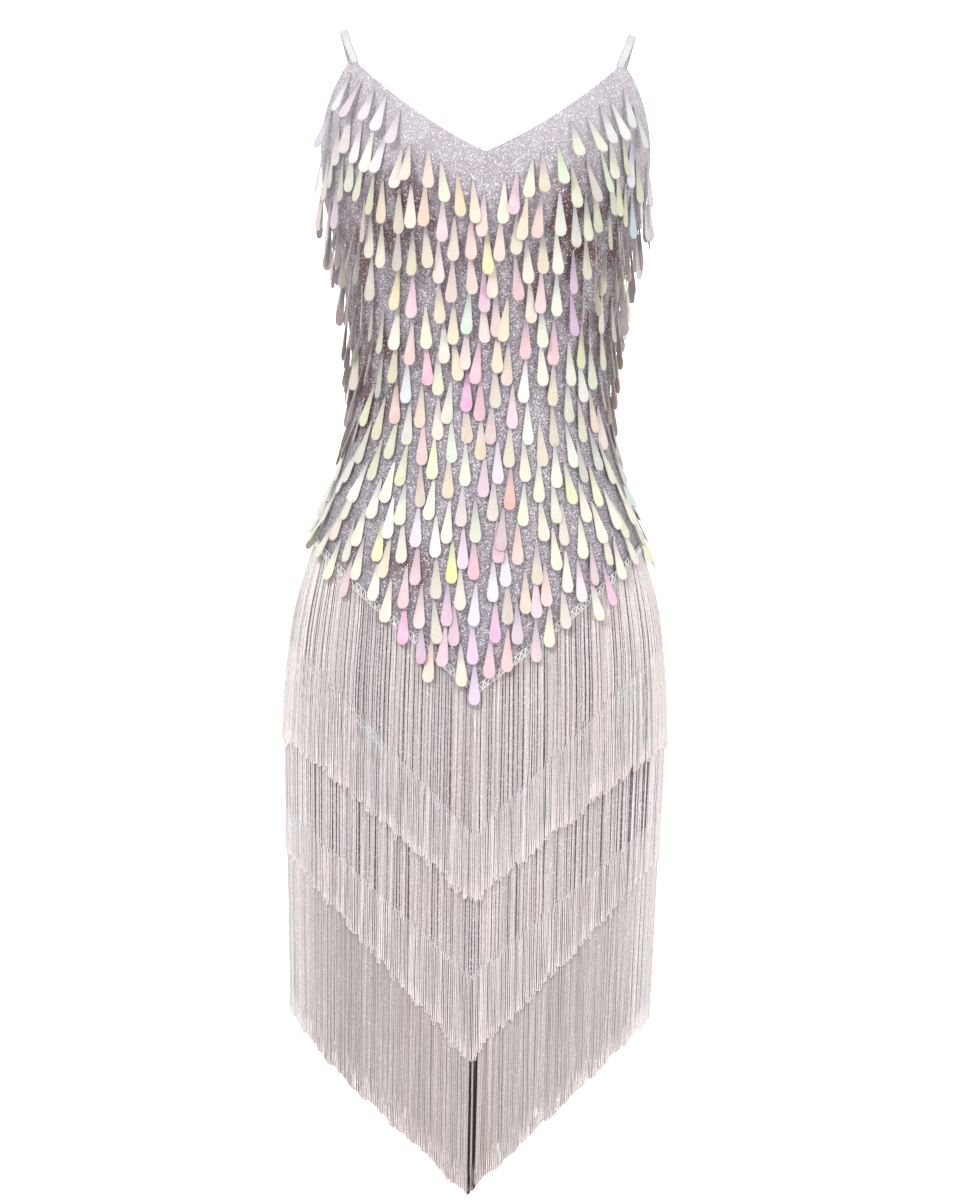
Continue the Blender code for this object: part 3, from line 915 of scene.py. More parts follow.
@dataclass
class Paillettes:
    """Teardrop paillettes in columns, set like bricks, on one half of the dress."""

    form: DressForm
    panel: Panel
    side: Side
    seed: int
    length: float = 0.0388
    half_width: float = 0.0055
    top_half_width: float = 0.0011
    widest: float = 0.81
    film: float = 0.0004
    column_step: float = 0.0131
    row_step: float = 0.0362
    rows: int = 18
    columns: int = 19
    lowest_z: float = -0.5790
    even_below: float = -0.340
    above_braid: float = 0.0045
    edge_margin: float = 0.0120
    right_margin: float = 0.013
    centre_margin: float = 0.020
    armhole_margin: float = 0.022
    flat_end: float = 0.80
    splay: float = 1.05
    bead: float = 0.00085

    # The u at which the armholes begin, and the outermost u at which a teardrop is sewn on
    armhole_u: float = 0.80
    seam_u: float = 0.985

    # Uneven sewing: slow waves of the rows, chance in height and in u, and the share left out
    wander: float = 0.0030
    scatter_z: float = 0.0021
    scatter_u: float = 0.008
    lost_share: float = 0.02

    # Lean away from the middle at the waist, on the dress's left and right in the picture
    waist_lean: tuple = (0.30, 0.12)
    lift: float = 0.080
    top_lift: float = 0.55

    # Where the front's teardrops hang edge on: place along X, height, half width, half height, turn
    turned: tuple = (
        (0.107, -0.215, 0.026, 0.050, 1.25),
        (0.122, -0.330, 0.016, 0.060, 1.00),
        (-0.124, -0.190, 0.016, 0.046, 1.20),
        (-0.106, -0.285, 0.018, 0.046, 1.00),
        (-0.118, -0.345, 0.014, 0.030, 0.80),
    )

    # Pastels of the pearly film, in the order in which they follow each other round the dress
    pastels: tuple = (
        (0.85, 0.92, 0.84),
        (0.89, 0.92, 0.81),
        (0.92, 0.94, 0.72),
        (0.94, 0.93, 0.80),
        (0.95, 0.90, 0.77),
        (0.96, 0.86, 0.75),
        (0.96, 0.78, 0.78),
        (0.94, 0.74, 0.84),
        (0.91, 0.83, 0.93),
        (0.94, 0.94, 0.96),
        (0.82, 0.93, 0.93),
    )

    # Second tone of the film, at the upper part of a teardrop
    upper_tones: tuple = ((0.62, 0.55, 0.68), (0.70, 0.66, 0.64), (0.60, 0.62, 0.74), (0.78, 0.66, 0.68))

    # Where the pastels start at the middle, how far they move on for each metre aside, how far
    # chance moves them, and the share of teardrops with any pastel at all
    middle_pastel: float = 0.49
    drift_rate: float = 2.4
    drift_chance: float = 0.11
    stray_share: float = 0.12

    # Brightness of the film, from the dullest teardrop to the brightest
    brightness: tuple = (0.89, 1.00)

    # Painted light: a paler and pinker tone towards the side seams, where the teardrops turn away from the
    # lamps
    side_painted_light: tuple = (0.95, 0.84, 0.90)

    def bare(self, column: Array, u: Array) -> Array:
        """Height of bare cloth left under the top edge, for columns that meet it at u.

        It is more beside the middle, on the right and at the armholes, and least on the centre line.
        """
        gap = self.edge_margin + self.right_margin * ramp(u, 0.0, 0.2) * (u < self.armhole_u)
        gap = np.maximum(gap, self.edge_margin + self.centre_margin * (np.abs(u) < 0.3))
        gap = np.where(column == 0, 0.5 * self.edge_margin, gap)
        return gap + self.armhole_margin * ramp(np.abs(u), self.armhole_u, 0.1)

    def holes(self, rng: np.random.Generator) -> tuple[Array, Array, Array]:
        """Where each teardrop is sewn on.

        Columns are one step apart along the cloth and every second one is half a row higher. In the
        upper part each column is stretched or shortened by up to half a row, so that its first
        teardrop follows the top edge. Places under the braid are left out.

        Returns:
            The u, the height and the height above the braid of each.
        """
        row, column = np.meshgrid(np.arange(self.rows), np.arange(-self.columns, self.columns + 1))
        row, column = row.ravel(), column.ravel()
        start = self.lowest_z + 0.5 * (column % 2) * self.row_step
        z = start + row * self.row_step
        arc = column * self.column_step
        u = np.clip(self.form.u_at_arc(arc, z, self.side), -1.5, 1.5)
        high = self.form.u_at_arc(arc, np.full(len(z), -0.11), self.side)
        first = self.panel.top(np.clip(high, -1.0, 1.0)) - self.bare(column, high)
        last_row = np.round((first - start) / self.row_step)
        shift = first - start - last_row * self.row_step
        z = z + shift * ramp(z, self.even_below, first - shift - self.even_below)
        z = z + self.wander * np.sin(1.9 * column + 0.2 * row) + rng.normal(0.0, self.scatter_z, len(z))
        u = u + rng.normal(0.0, self.scatter_u, len(u))
        above = z - TIERS[0].braid_top(self.form, u)
        clear = self.panel.top(np.clip(u, -1.0, 1.0)) - z
        aside = np.abs(u)
        kept = (row <= last_row) & (above > self.above_braid) & (aside < self.seam_u)
        kept &= clear > 0.4 * self.edge_margin + 0.014 * (aside > 0.72)
        kept &= (rng.uniform(0.0, 1.0, len(u)) > self.lost_share) | (aside < 0.2)
        return u[kept], z[kept], above[kept]

    def tints(self, x: Array, z: Array, rng: np.random.Generator) -> Array:
        """Each teardrop's pastel, which drifts outwards from the middle with a share of chance.

        Some teardrops are vivid and most are not. They are whiter beside the neckline, brighter there and at
        the sides of the hips as painted light, and paler and pinker near the side seams above them, painted
        light on teardrops turned from the lamps.
        """
        count = len(x)
        high = ramp(z, -0.13, 0.05)
        aside = np.abs(x) / self.form.half_width(z)
        drift = self.middle_pastel - self.drift_rate * np.abs(x)
        drift = drift + 0.05 * np.sin(23.0 * z + 1.3) + 0.05 * np.sin(71.0 * x)
        drift = drift + 0.40 * high * (x < 0.0) + 0.12 * ramp(z, -0.42, -0.08)
        place = (drift + rng.normal(0.0, self.drift_chance, count)) % 1.0
        stray = rng.uniform(0.0, 1.0, count) < self.stray_share
        place = np.where(stray, rng.uniform(0.0, 1.0, count), place)
        table = np.array(self.pastels)
        at = place * len(table)
        low = at.astype(int) % len(table)
        share = (at - np.floor(at))[:, None]
        colour = table[low] * (1.0 - share) + table[(low + 1) % len(table)] * share
        mean = colour.mean(axis=1, keepdims=True)
        vivid = rng.uniform(0.45, 1.10, count) + 0.9 * (rng.uniform(0.0, 1.0, count) > 0.94)
        vivid = vivid * (1.0 - 0.3 * high * (x < 0.0))
        # Painted light: brighter at the sides of the hips and a little beside the neckline
        hip_painted_light = ramp(aside, 0.45, 0.3) * ramp(z, -0.36, -0.05)
        bright = (rng.uniform(*self.brightness, count) * (1.0 + 0.14 * hip_painted_light + 0.05 * high))[:, None]
        whiter = (high * rng.uniform(0.0, 0.9, count))[:, None]
        colour = colour + (0.98 - colour) * whiter
        colour = np.clip((mean + (colour - mean) * vivid[:, None]) * bright, 0.05, 0.98)
        # Painted light: mixed towards a paler, pinker tone near the side seams, less at the top and low down
        edge = ramp(aside, 0.80, 0.18) * rng.uniform(0.2, 1.0, count)
        edge = 0.75 * edge * np.clip((z + 0.45) / 0.12, 0.12, 1.0) * (1.0 - 0.7 * high)
        return (colour * (1.0 - edge[:, None]) + edge[:, None] * np.array(self.side_painted_light)) ** 2.0

    def fall(self, u: Array, z: Array, x: Array, flat: Array, slope: Array) -> Array:
        """Direction in which each teardrop hangs, splayed away from the middle.

        Args:
            u: Its place round the dress.
            z: Its height.
            x: Its place along X.
            flat: The cloth's outward direction there, level.
            slope: How far the cloth comes forward for each unit of fall.

        Returns:
            Unit vectors: down the cloth's steepest way, or straight down where the cloth recedes.
        """
        tangent = np.stack([-flat[:, 1], flat[:, 0], np.zeros(len(u))], axis=-1)
        tangent = tangent * np.sign(tangent[:, :1] * flat[:, :1])
        waist = np.exp(-(((z + 0.335) / 0.075) ** 2)) * ramp(np.abs(u), 0.25, 0.4)
        waist = waist * np.where(x < 0.0, *self.waist_lean)
        down = flat * slope + tangent * (slope * np.abs(flat[:, :1]) * self.splay + waist[:, None])
        straight = ramp(np.abs(u), 0.62, 0.16) * ramp(z, -0.19, 0.05)
        down = down * (1.0 - 0.8 * straight[:, None])
        return unit(down - np.array([0.0, 0.0, 1.0]))

    def lifts(self, u: Array, z: Array, above: Array, slope: Array, rng: np.random.Generator) -> Array:
        """How far each teardrop's round end stands off the cloth, as a share of its length.

        Args:
            u: Its place round the dress.
            z: Its height.
            above: Its height above the first braid.
            slope: How far the cloth comes forward for each unit of fall.
            rng: Source of the differences between teardrops.

        Returns:
            The shares: larger beside the neckline, just above the braid and where the cloth slopes.
        """
        lift = self.lift + rng.uniform(-0.02, 0.03, len(u)) + np.where(above < 0.036, 0.075, 0.0)
        near_top = (1.0 - ramp(self.panel.top(u) - z, 0.0, 0.05)) * ramp(z, -0.150, 0.03)
        near_top = near_top * ramp(np.abs(u), 0.90, -0.2)
        lift = lift + self.top_lift * near_top * rng.uniform(0.4, 1.0, len(u))
        return lift + rng.uniform(0.0, 0.5, len(u)) * np.clip(slope - 0.25, 0.0, 0.6)

    def frames(self, rng: np.random.Generator) -> tuple[Array, ...]:
        """Hole, direction, width axis and face normal of each teardrop, and its tint."""
        u, z, above = self.holes(rng)
        u = np.clip(u, -0.99, 0.99)
        hole = self.form.point(u, z, self.side, 0.0012)
        facing = self.form.facing(u, z, self.side)
        flat = unit(facing * np.array([1.0, 1.0, 0.0]))
        slope = np.clip(facing[:, 2:] / np.linalg.norm(facing[:, :2], axis=1, keepdims=True), 0.0, 1.2)
        down = self.fall(u, z, hole[:, 0], flat, slope)
        facing = np.where(facing[:, 2:] < 0.0, flat, facing)
        normal = unit(facing - (facing * down).sum(axis=1, keepdims=True) * down)
        width = np.cross(down, normal)
        down, width = tilt(down, width, rng.normal(0.0, 0.05 + 0.05 * np.abs(u) ** 3)[:, None])
        spread = 0.11 + 0.35 * np.abs(u) ** 4
        turn = (rng.normal(0.0, 1.0, len(u)) * spread + self.turns(hole[:, 0], z, rng))[:, None]
        cos, sin = np.cos(turn), np.sin(turn)
        normal, width = normal * cos + width * sin, width * cos - normal * sin
        down, normal = tilt(down, normal, self.lifts(u, z, above, slope[:, 0], rng)[:, None])
        return hole, down, width, normal, self.tints(hole[:, 0], z, rng)

    def turns(self, x: Array, z: Array, rng: np.random.Generator) -> Array:
        """Turn of each teardrop about its own length, in radians, in the patches where they hang loose."""
        total = np.zeros(len(x))
        if self.side is Side.FRONT:
            for spot in self.turned:
                total = total + patch(x, z, spot, 4) * (rng.uniform(0.0, 1.0, len(x)) < 0.75)
        return np.clip(total, 0.0, 1.35) * -np.sign(x)

    def outline(self, s: Array) -> Array:
        """Half width at share s of the length: a slow flare, then an oval end cut flat at its tip."""
        swell = (s / self.widest) ** 1.1
        flare = self.top_half_width + (self.half_width - self.top_half_width) * swell
        end = ramp(s, self.widest, 1.0 - self.widest) * math.sin(self.flat_end * math.pi / 2.0)
        return np.where(s < self.widest, flare, self.half_width * (1.0 - end**2.2) ** (1.0 / 2.2))

    def build(self, finish: Finish, bead_finish: Finish) -> list[Item]:
        """Makes this half's teardrops and the beads that hold them."""
        rng = np.random.default_rng(self.seed)
        hole, down, width, normal, tint = self.frames(rng)
        flare = np.linspace(0.0, self.widest, 4)
        turn = np.sin(np.array([0.26, 0.52, self.flat_end]) * math.pi / 2.0)
        s = np.concatenate([flare, self.widest + (1.0 - self.widest) * turn / turn[-1]])
        t = np.array([-1.0, 1.0])
        half = self.outline(s)[:, None] * t[None, :]
        shape = hole[:, None, None] + down[:, None, None] * (s * self.length)[None, :, None, None]
        shape = shape + width[:, None, None] * half[None, ..., None]
        count, one = len(hole), len(s) * 2
        sheets = [shape + normal[:, None, None] * depth for depth in (self.film, 0.0)]
        points = np.concatenate([sheet.reshape(count, one, 3) for sheet in sheets], axis=1)
        loop = rim_loop(len(s), 2)
        after = np.roll(loop, -1)
        rim = np.stack([loop, after, after + one, loop + one], axis=-1)
        faces = flipped([grid_faces(len(s), 2, 0, True), grid_faces(len(s), 2, one), rim])
        faces = [copies(block, count, one * 2) for block in faces]
        name = f"paillettes_{self.side.word}"
        piece = make_piece(name, points.reshape(-1, 3), faces, finish, flat=(0, 1, 2))
        upper = np.array(self.upper_tones)[rng.integers(0, len(self.upper_tones), count)] ** 2.0
        share = (rng.uniform(0.0, 0.75, (count, 1)) * np.clip(1.0 - s / 0.6, 0.0, 1.0))[..., None]
        tones = tint[:, None] * (1.0 - share) + upper[:, None] * share
        add_colour(piece, "tint", np.tile(np.repeat(tones, 2, axis=1), (1, 2, 1)).reshape(-1, 3))
        add_uv(piece, self.surface(s, t, count, rng))
        log.info("%s: %d teardrops", piece.name, count)
        return [piece, self.beads(hole, down, width, normal, bead_finish, rng)]

    def surface(self, s: Array, t: Array, count: int, rng: np.random.Generator) -> Array:
        """Surface coordinates: across and down each teardrop, across from a whole number of its own.

        The whole number gives each teardrop its own part of the streaks.
        """
        pair = np.stack(np.broadcast_arrays(t[None, :] * 0.5 + 0.5, s[:, None]), axis=-1)
        pairs = np.tile(pair.reshape(-1, 2), (count * 2, 1))
        own = np.repeat(rng.integers(0, 90, count), len(s) * 4)
        pairs[:, 0] = pairs[:, 0] * 0.998 + 0.001 + own
        return pairs

    def beads(
        self, hole: Array, down: Array, width: Array, normal: Array, finish: Finish, rng: np.random.Generator
    ) -> Item:
        """Makes two tiny round beads above each hole, as small six by five spheres.

        Args:
            hole: The teardrops' holes.
            down: Their directions.
            width: Their width axes.
            normal: Their face normals.
            finish: The beads' material.
            rng: Source of the small shifts.

        Returns:
            The piece.
        """
        count = len(hole)
        places = []
        for lift, aside, above in ((0.0007, 0.0004, 0.0002), (0.0, -0.0005, 0.0015)):
            up = -above + rng.uniform(-0.0003, 0.0003, (count, 1))
            side = aside + rng.uniform(-0.0005, 0.0005, (count, 1))
            places.append(hole + down * up + width * side + normal * (lift + 0.0002))
        centre = np.concatenate(places)
        turn = np.linspace(0.0, 2.0 * math.pi, 7)[:-1]
        tilts = np.array([math.pi * 0.25, math.pi * 0.5, math.pi * 0.75])[:, None]
        ring = (np.sin(tilts) * np.cos(turn), np.sin(tilts) * np.sin(turn), np.cos(tilts))
        ring = np.stack(np.broadcast_arrays(*ring), axis=-1).reshape(-1, 3)
        ball = np.concatenate([ring, [[0.0, 0.0, 1.0]], [[0.0, 0.0, -1.0]]]) * self.bead
        index = np.arange(18).reshape(3, 6)
        after = np.roll(index, -1, axis=1)
        quads = [np.stack([index[k], index[k + 1], after[k + 1], after[k]], axis=-1) for k in range(2)]
        top = np.stack([np.full(6, 18), index[0], after[0]], axis=-1)
        bottom = np.stack([np.full(6, 19), after[2], index[2]], axis=-1)
        kinds = (np.concatenate(quads), np.concatenate([top, bottom]))
        faces = [copies(kind, len(centre), len(ball)) for kind in kinds]
        points = (centre[:, None] + ball[None]).reshape(-1, 3)
        piece = make_piece(f"beads_{self.side.word}", points, faces, finish)
        return piece


@dataclass
class Fringe:
    """One tier's fringe and braid on one half of the dress."""

    form: DressForm
    tier: Tier
    side: Side
    seed: int
    yarn: float = 0.00035
    loop: float = 0.00085
    stations: int = 10
    turn_points: int = 4
    fluff: float = 0.95
    layer_step: float = 0.0011
    sway: float = 0.0004
    clump: float = 0.0005
    period: float = 0.0046
    zigzag: float = 0.0033
    close_step: float = 0.84

    # How far above the next braid the strands' tone changes to the band's painted light, and over what
    # length, as shares of theirs
    early: float = 0.035
    change: float = 0.012

    # Tone of the strands of each tier, and how uneven it is; the lowest tier's lower tone is painted shade
    # inside it
    tones: tuple = (1.11, 1.13, 0.985)
    uneven: tuple = (0.08, 0.08, 0.05)

    # Painted shade: how much darker each layer further in is in the lowest tier
    inner_layer_shade: float = 0.05

    # Tones of the braid's tape, of its zig-zag cord and of its edge cords, in each tier
    braid_tones: tuple = ((0.30, 1.06, 0.95), (0.55, 1.00, 0.95), (0.55, 1.00, 0.95))

    # Painted light: paler and cooler tone of the strands where they hang over the next tier
    band_painted_light: tuple = (1.04, 1.095, 1.105)

    # Longer part of the lowest tier's front: place, half width and added length
    long_part: tuple = (-0.47, 0.26, 0.008)

    # Part of the second tier's front where few strands cover the cloth: place, half width and share left
    thin_part: tuple = (0.655, 0.085, 0.30)

    # Painted shade of a slot between the strands at the point of the front: its place along X, the
    # distance of its two dark lines from there, and half the width of each
    slot: tuple = (0.0032, 0.0024, 0.0012)
    # Dark brown of the strands that stand in for the slot's shade
    slot_painted_shade: tuple = (0.050, 0.018, 0.014)

    # Painted shade: tone of the reddish strands right of the slot, standing in for warm shade there, and
    # their share there
    reddish_shade: tuple = (0.80, 0.67, 0.64)
    reddish_shade_share: float = 0.5

    def header_ring(self) -> tuple[Array, Array]:
        """Values of u along the header and the distance along it at each, seen from above."""
        dense = np.linspace(-1.0, 1.0, 1201)
        ring = self.form.point(dense, self.tier.braid_top(self.form, dense), self.side)[:, :2]
        return dense, distances(ring)

    def header(self, count: int) -> Array:
        """The u of evenly spaced places along the header."""
        dense, arc = self.header_ring()
        return np.interp((np.arange(count) + 0.5) * arc[-1] / count, arc, dense)

    def places(self, number: int, rng: np.random.Generator) -> Array:
        """The u of one layer's strands: side by side, with open gaps here and there.

        Args:
            number: The layer, 0 next to the cloth.
            rng: Source of the steps between strands and of the gaps.

        Returns:
            Places from left to right. In a tier with gaps every layer but the first is sparse. Without
            gaps the steps are shorter than the pitch on average, so more of them are drawn, and what
            runs past the header's end is left out.
        """
        dense, arc = self.header_ring()
        count = int(arc[-1] / (self.tier.pitch * (1.0 if self.tier.gap_share else self.close_step)))
        steps = rng.uniform(0.75, 1.05, count)
        steps = steps + (rng.uniform(0.0, 1.0, count) < self.tier.gap_share) * rng.uniform(0.30, 0.85, count)
        steps = steps + (rng.uniform(0.0, 1.0, count) < 0.1 * self.tier.gap_share) * 0.5
        along = np.cumsum(steps * self.tier.pitch)
        along = along[along < arc[-1] - self.tier.pitch * 0.4]
        along = along + (arc[-1] - along[-1] - along[0]) / 2.0
        u = np.interp(along, arc, dense)
        chance = rng.uniform(0.0, 1.0, len(u))
        kept = chance < (0.22 if number and self.tier.gap_share else 1.0)
        if self.tier.number == 2 and self.side is Side.FRONT:
            middle, wide, left = self.thin_part
            kept &= chance < 1.0 - (1.0 - left) * np.exp(-(((u - middle) / wide) ** 4))
        return u[kept]

    def lengths(self, u: Array, rng: np.random.Generator) -> Array:
        """Length of each strand, with slow waves along the hem and small differences."""
        wave = 0.0013 * np.sin(37.0 * u + self.seed) + 0.0010 * np.sin(101.0 * u)
        wave = wave + 0.6 * self.tier.spread * np.sin(233.0 * u + 2.0 * self.seed)
        even = self.tier.length(self.form, u) + BRAID_HEIGHT * 0.45
        if self.tier.number == 3 and self.side is Side.FRONT:
            middle, wide, added = self.long_part
            even = even + added * np.exp(-(((u - middle) / wide) ** 2))
        return even + wave + rng.normal(0.0, self.tier.spread, len(u))

    def shares(self, u: Array, lengths: Array) -> tuple[Array, Array]:
        """Stations of each strand as shares of its length, and where it hangs over the next tier.

        Half of the stations are above the next tier's braid and half below it. The lowest tier has no
        such place, so there the halves meet in the middle.
        """
        crossing = np.full((len(u), 1), 0.5)
        if self.tier.number < len(TIERS):
            fall = self.tier.braid_top(self.form, u) - TIERS[self.tier.number].braid_top(self.form, u)
            crossing = fall[:, None] / lengths - self.early + 0.02 * np.sin(977.0 * u)[:, None]
        half = self.stations // 2
        step = np.arange(half) / (half - 1.0)
        upper = step * crossing
        lower = crossing + self.change + (1.0 - crossing - self.change) * step
        loose = np.concatenate([np.zeros(half), np.full(half, float(self.tier.number < len(TIERS)))])
        return np.concatenate([upper, lower], axis=1), loose[None, :]

    def sideways(self, u: Array, share: Array, rng: np.random.Generator) -> Array:
        """How far strands stray along the cloth: in clumps that neighbours share, and each alone."""
        count = len(u)
        phase = rng.uniform(0.0, 2.0 * math.pi, (count, 1))
        alone = self.sway * share**1.2 * np.sin(phase + share * rng.uniform(1.5, 5.0, (count, 1)))
        place = u[:, None] * 9.0
        shared = np.sin(7.3 * place + 2.0 * share + self.seed) + 0.7 * np.sin(17.9 * place + 3.0 * share)
        return alone + self.clump * share * shared

    def layer(self, number: int, rng: np.random.Generator) -> tuple[Array, Array, Array]:
        """Looped strands of one layer: down one leg, round the loop and up the other.

        Args:
            number: The layer, 0 next to the cloth.
            rng: Source of the small differences between strands.

        Returns:
            Paths, normals and tints.
        """
        u = self.places(number, rng)
        count = len(u)
        top = self.tier.braid_top(self.form, u) - BRAID_HEIGHT * 0.55
        start = self.form.point(u, top, self.side, 0.0009 + 0.0004 * number)
        lengths = self.lengths(u, rng)[:, None]
        share, loose = self.shares(u, lengths)
        drops = share * lengths
        rise = ease(ramp(drops, 0.0, self.tier.rise))
        depth = self.tier.stand_off + self.layer_step * number + rng.uniform(-0.0004, 0.0004, count)[:, None]
        depth = depth + self.tier.flare * ramp(share, 0.5, 0.5) * (1.0 - u[:, None] ** 2)
        path = self.form.hang(start, drops, self.side, 0.0009 + depth * rise)
        normal = self.form.normal(path, self.side)
        down = unit(np.gradient(path, axis=1))
        across = unit(np.cross(down, normal))
        path = path + across * self.sideways(u, share, rng)[..., None]
        leg = rng.uniform(0.85, 1.35, (count, 1)) * self.yarn * (1.0 + self.fluff * loose)
        gap = leg + (self.loop - leg) * ramp(share, 0.95, 0.05)
        left = path - across * gap[..., None]
        right = (path + across * gap[..., None])[:, ::-1]
        angle = np.linspace(0.0, math.pi, self.turn_points + 2)[1:-1]
        end, aside, fall = path[:, -1], across[:, -1], down[:, -1]
        turn = end[:, None] - aside[:, None] * (np.cos(angle) * self.loop)[None, :, None]
        turn = turn + fall[:, None] * (np.sin(angle) * self.loop * 1.5)[None, :, None]
        paths = np.concatenate([left, turn, right], axis=1)
        bank = np.repeat(normal[:, -1:], self.turn_points, axis=1)
        normals = np.concatenate([normal, bank, normal[:, ::-1]], axis=1)
        return paths, normals, self.tints(u, path[:, -1, 0], number, rng)

    @property
    def slotted(self) -> bool:
        """Whether this fringe has the painted shade of the slot at the point of the dress."""
        return self.tier.number == 3 and self.side is Side.FRONT

    def tints(self, u: Array, x: Array, number: int, rng: np.random.Generator) -> Array:
        """Tone of each strand: some brighter, some darker, with painted shade on the lowest tier's inner
        layers, painted light towards the sides, and dark brown and reddish painted shade in and beside the
        slot.

        Args:
            u: The strands' places along the header.
            x: Where their ends are along X.
            number: The layer, 0 next to the cloth.
            rng: Source of the differences between strands.

        Returns:
            One colour a strand.
        """
        count = len(u)
        tone = rng.normal(1.0, self.uneven[self.tier.number - 1], (count, 1))
        tone = tone * self.tones[self.tier.number - 1]
        # Painted shade on the lowest tier's inner layers
        if self.tier.number == len(TIERS):
            tone = tone - self.inner_layer_shade * (self.tier.layers - 1 - number)
        tone = tone * (1.0 + 0.05 * ramp(x[:, None], 0.06, 0.08))
        band = 0.005 * np.sin(13.0 * u[:, None] + self.seed) + rng.normal(0.0, 0.005, (count, 1))
        tint = np.concatenate([tone + band, tone - 0.4 * band, tone - 0.6 * band], axis=1)
        # Painted light: paler towards the side seams
        tint = tint * (1.0 + np.array([0.07, 0.13, 0.14]) * (u**2 - u**8)[:, None])
        # Painted shade: dark brown strands for the slot's two dark lines, reddish ones beside it
        if self.slotted:
            place, apart, half = self.slot
            off = (x - place)[:, None]
            red = (off > apart + half) & (off < 5.0 * apart)
            red &= rng.uniform(0.0, 1.0, (count, 1)) < self.reddish_shade_share
            tint = np.where(red, np.array(self.reddish_shade), tint)
            tint = np.where(np.abs(np.abs(off) - apart) < half, np.array(self.slot_painted_shade), tint)
        return tint

    def build(self, finish: Finish, braid_finish: Finish) -> list[Item]:
        """Makes the strands and the braid that they hang from."""
        rng = np.random.default_rng(self.seed)
        parts = [self.layer(k, rng) for k in range(self.tier.layers)]
        paths, normals, tint = (np.concatenate(column) for column in zip(*parts))
        stations = paths.shape[1]
        middle = self.stations + (self.turn_points - 1) / 2.0
        near_end = np.abs(np.arange(stations) - middle) < self.turn_points / 2.0 + 0.6
        radius = np.where(near_end, self.yarn * 1.45, self.yarn)[None, :]
        points, faces, strand, station = tubes(paths, normals, radius, 3)
        piece = make_piece(f"fringe_{self.tier.number}_{self.side.word}", points, faces, finish)
        # Painted light where the strands hang over the next tier, and a painted highlight on the loops at
        # their ends
        painted_light = np.ones((stations, 3))
        if self.tier.number < len(TIERS):
            painted_light[self.stations // 2 : stations - self.stations // 2] = self.band_painted_light
        painted_light = (painted_light * np.where(near_end, 1.14, 1.0)[:, None])[station]
        add_colour(piece, "tint", np.clip(tint[strand] * painted_light, 0.0, 1.25))
        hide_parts(f"fringe_tier_{self.tier.number}_{self.side.word}")
        return [piece, self.braid(braid_finish)]

    def along(self, u: Array, fall: Array | float, out: float) -> Array:
        """Points on the braid, at a depth below its top edge and a distance out from the cloth."""
        return self.form.point(u, self.tier.braid_top(self.form, u) - fall, self.side, out)

    def braid(self, finish: Finish) -> Item:
        """Zig-zag braid: a thin tape under a paler zig-zag cord and a cord along each edge."""
        u = np.concatenate([[-1.0], self.header(220), [1.0]])
        falls = np.linspace(BRAID_HEIGHT, 0.0, 4)[:, None]
        outer, inner = (self.along(u[None, :], falls, out) for out in (0.0008, 0.0003))
        points, faces = wall(outer, inner)
        blocks = [(points, self.side.facing(faces))]
        fine = self.header(int(self.header_ring()[1][-1] / self.period) * 4)
        swing = np.abs(np.arange(len(fine)) % 4 - 2.0) - 1.0
        zigzag = self.along(fine, BRAID_HEIGHT / 2.0 + swing * self.zigzag, 0.0015)
        blocks.append(self.rope(zigzag, 0.00074))
        for fall in (0.0005, BRAID_HEIGHT - 0.0005):
            blocks.append(self.rope(self.along(u, fall, 0.0011), 0.00062))
        tape, cord, edging = self.braid_tones[self.tier.number - 1]
        tones = (tape, cord, edging, edging)
        shades = [np.full(len(part), tone) for (part, _), tone in zip(blocks, tones)]
        offset, points, quads = 0, [], []
        for block, block_faces in blocks:
            points.append(block)
            quads += [faces + offset for faces in block_faces]
            offset += len(block)
        name = f"braid_{self.tier.number}_{self.side.word}"
        piece = make_piece(name, np.concatenate(points), quads, finish)
        add_colour(piece, "tint", np.repeat(np.concatenate(shades)[:, None], 3, axis=1))
        return piece

    def rope(self, path: Array, radius: float) -> tuple[Array, list[Array]]:
        """One four-sided cord along a path on the dress."""
        points, faces, _, _ = tubes(path[None], self.form.normal(path, self.side)[None], radius, 4)
        return points, faces


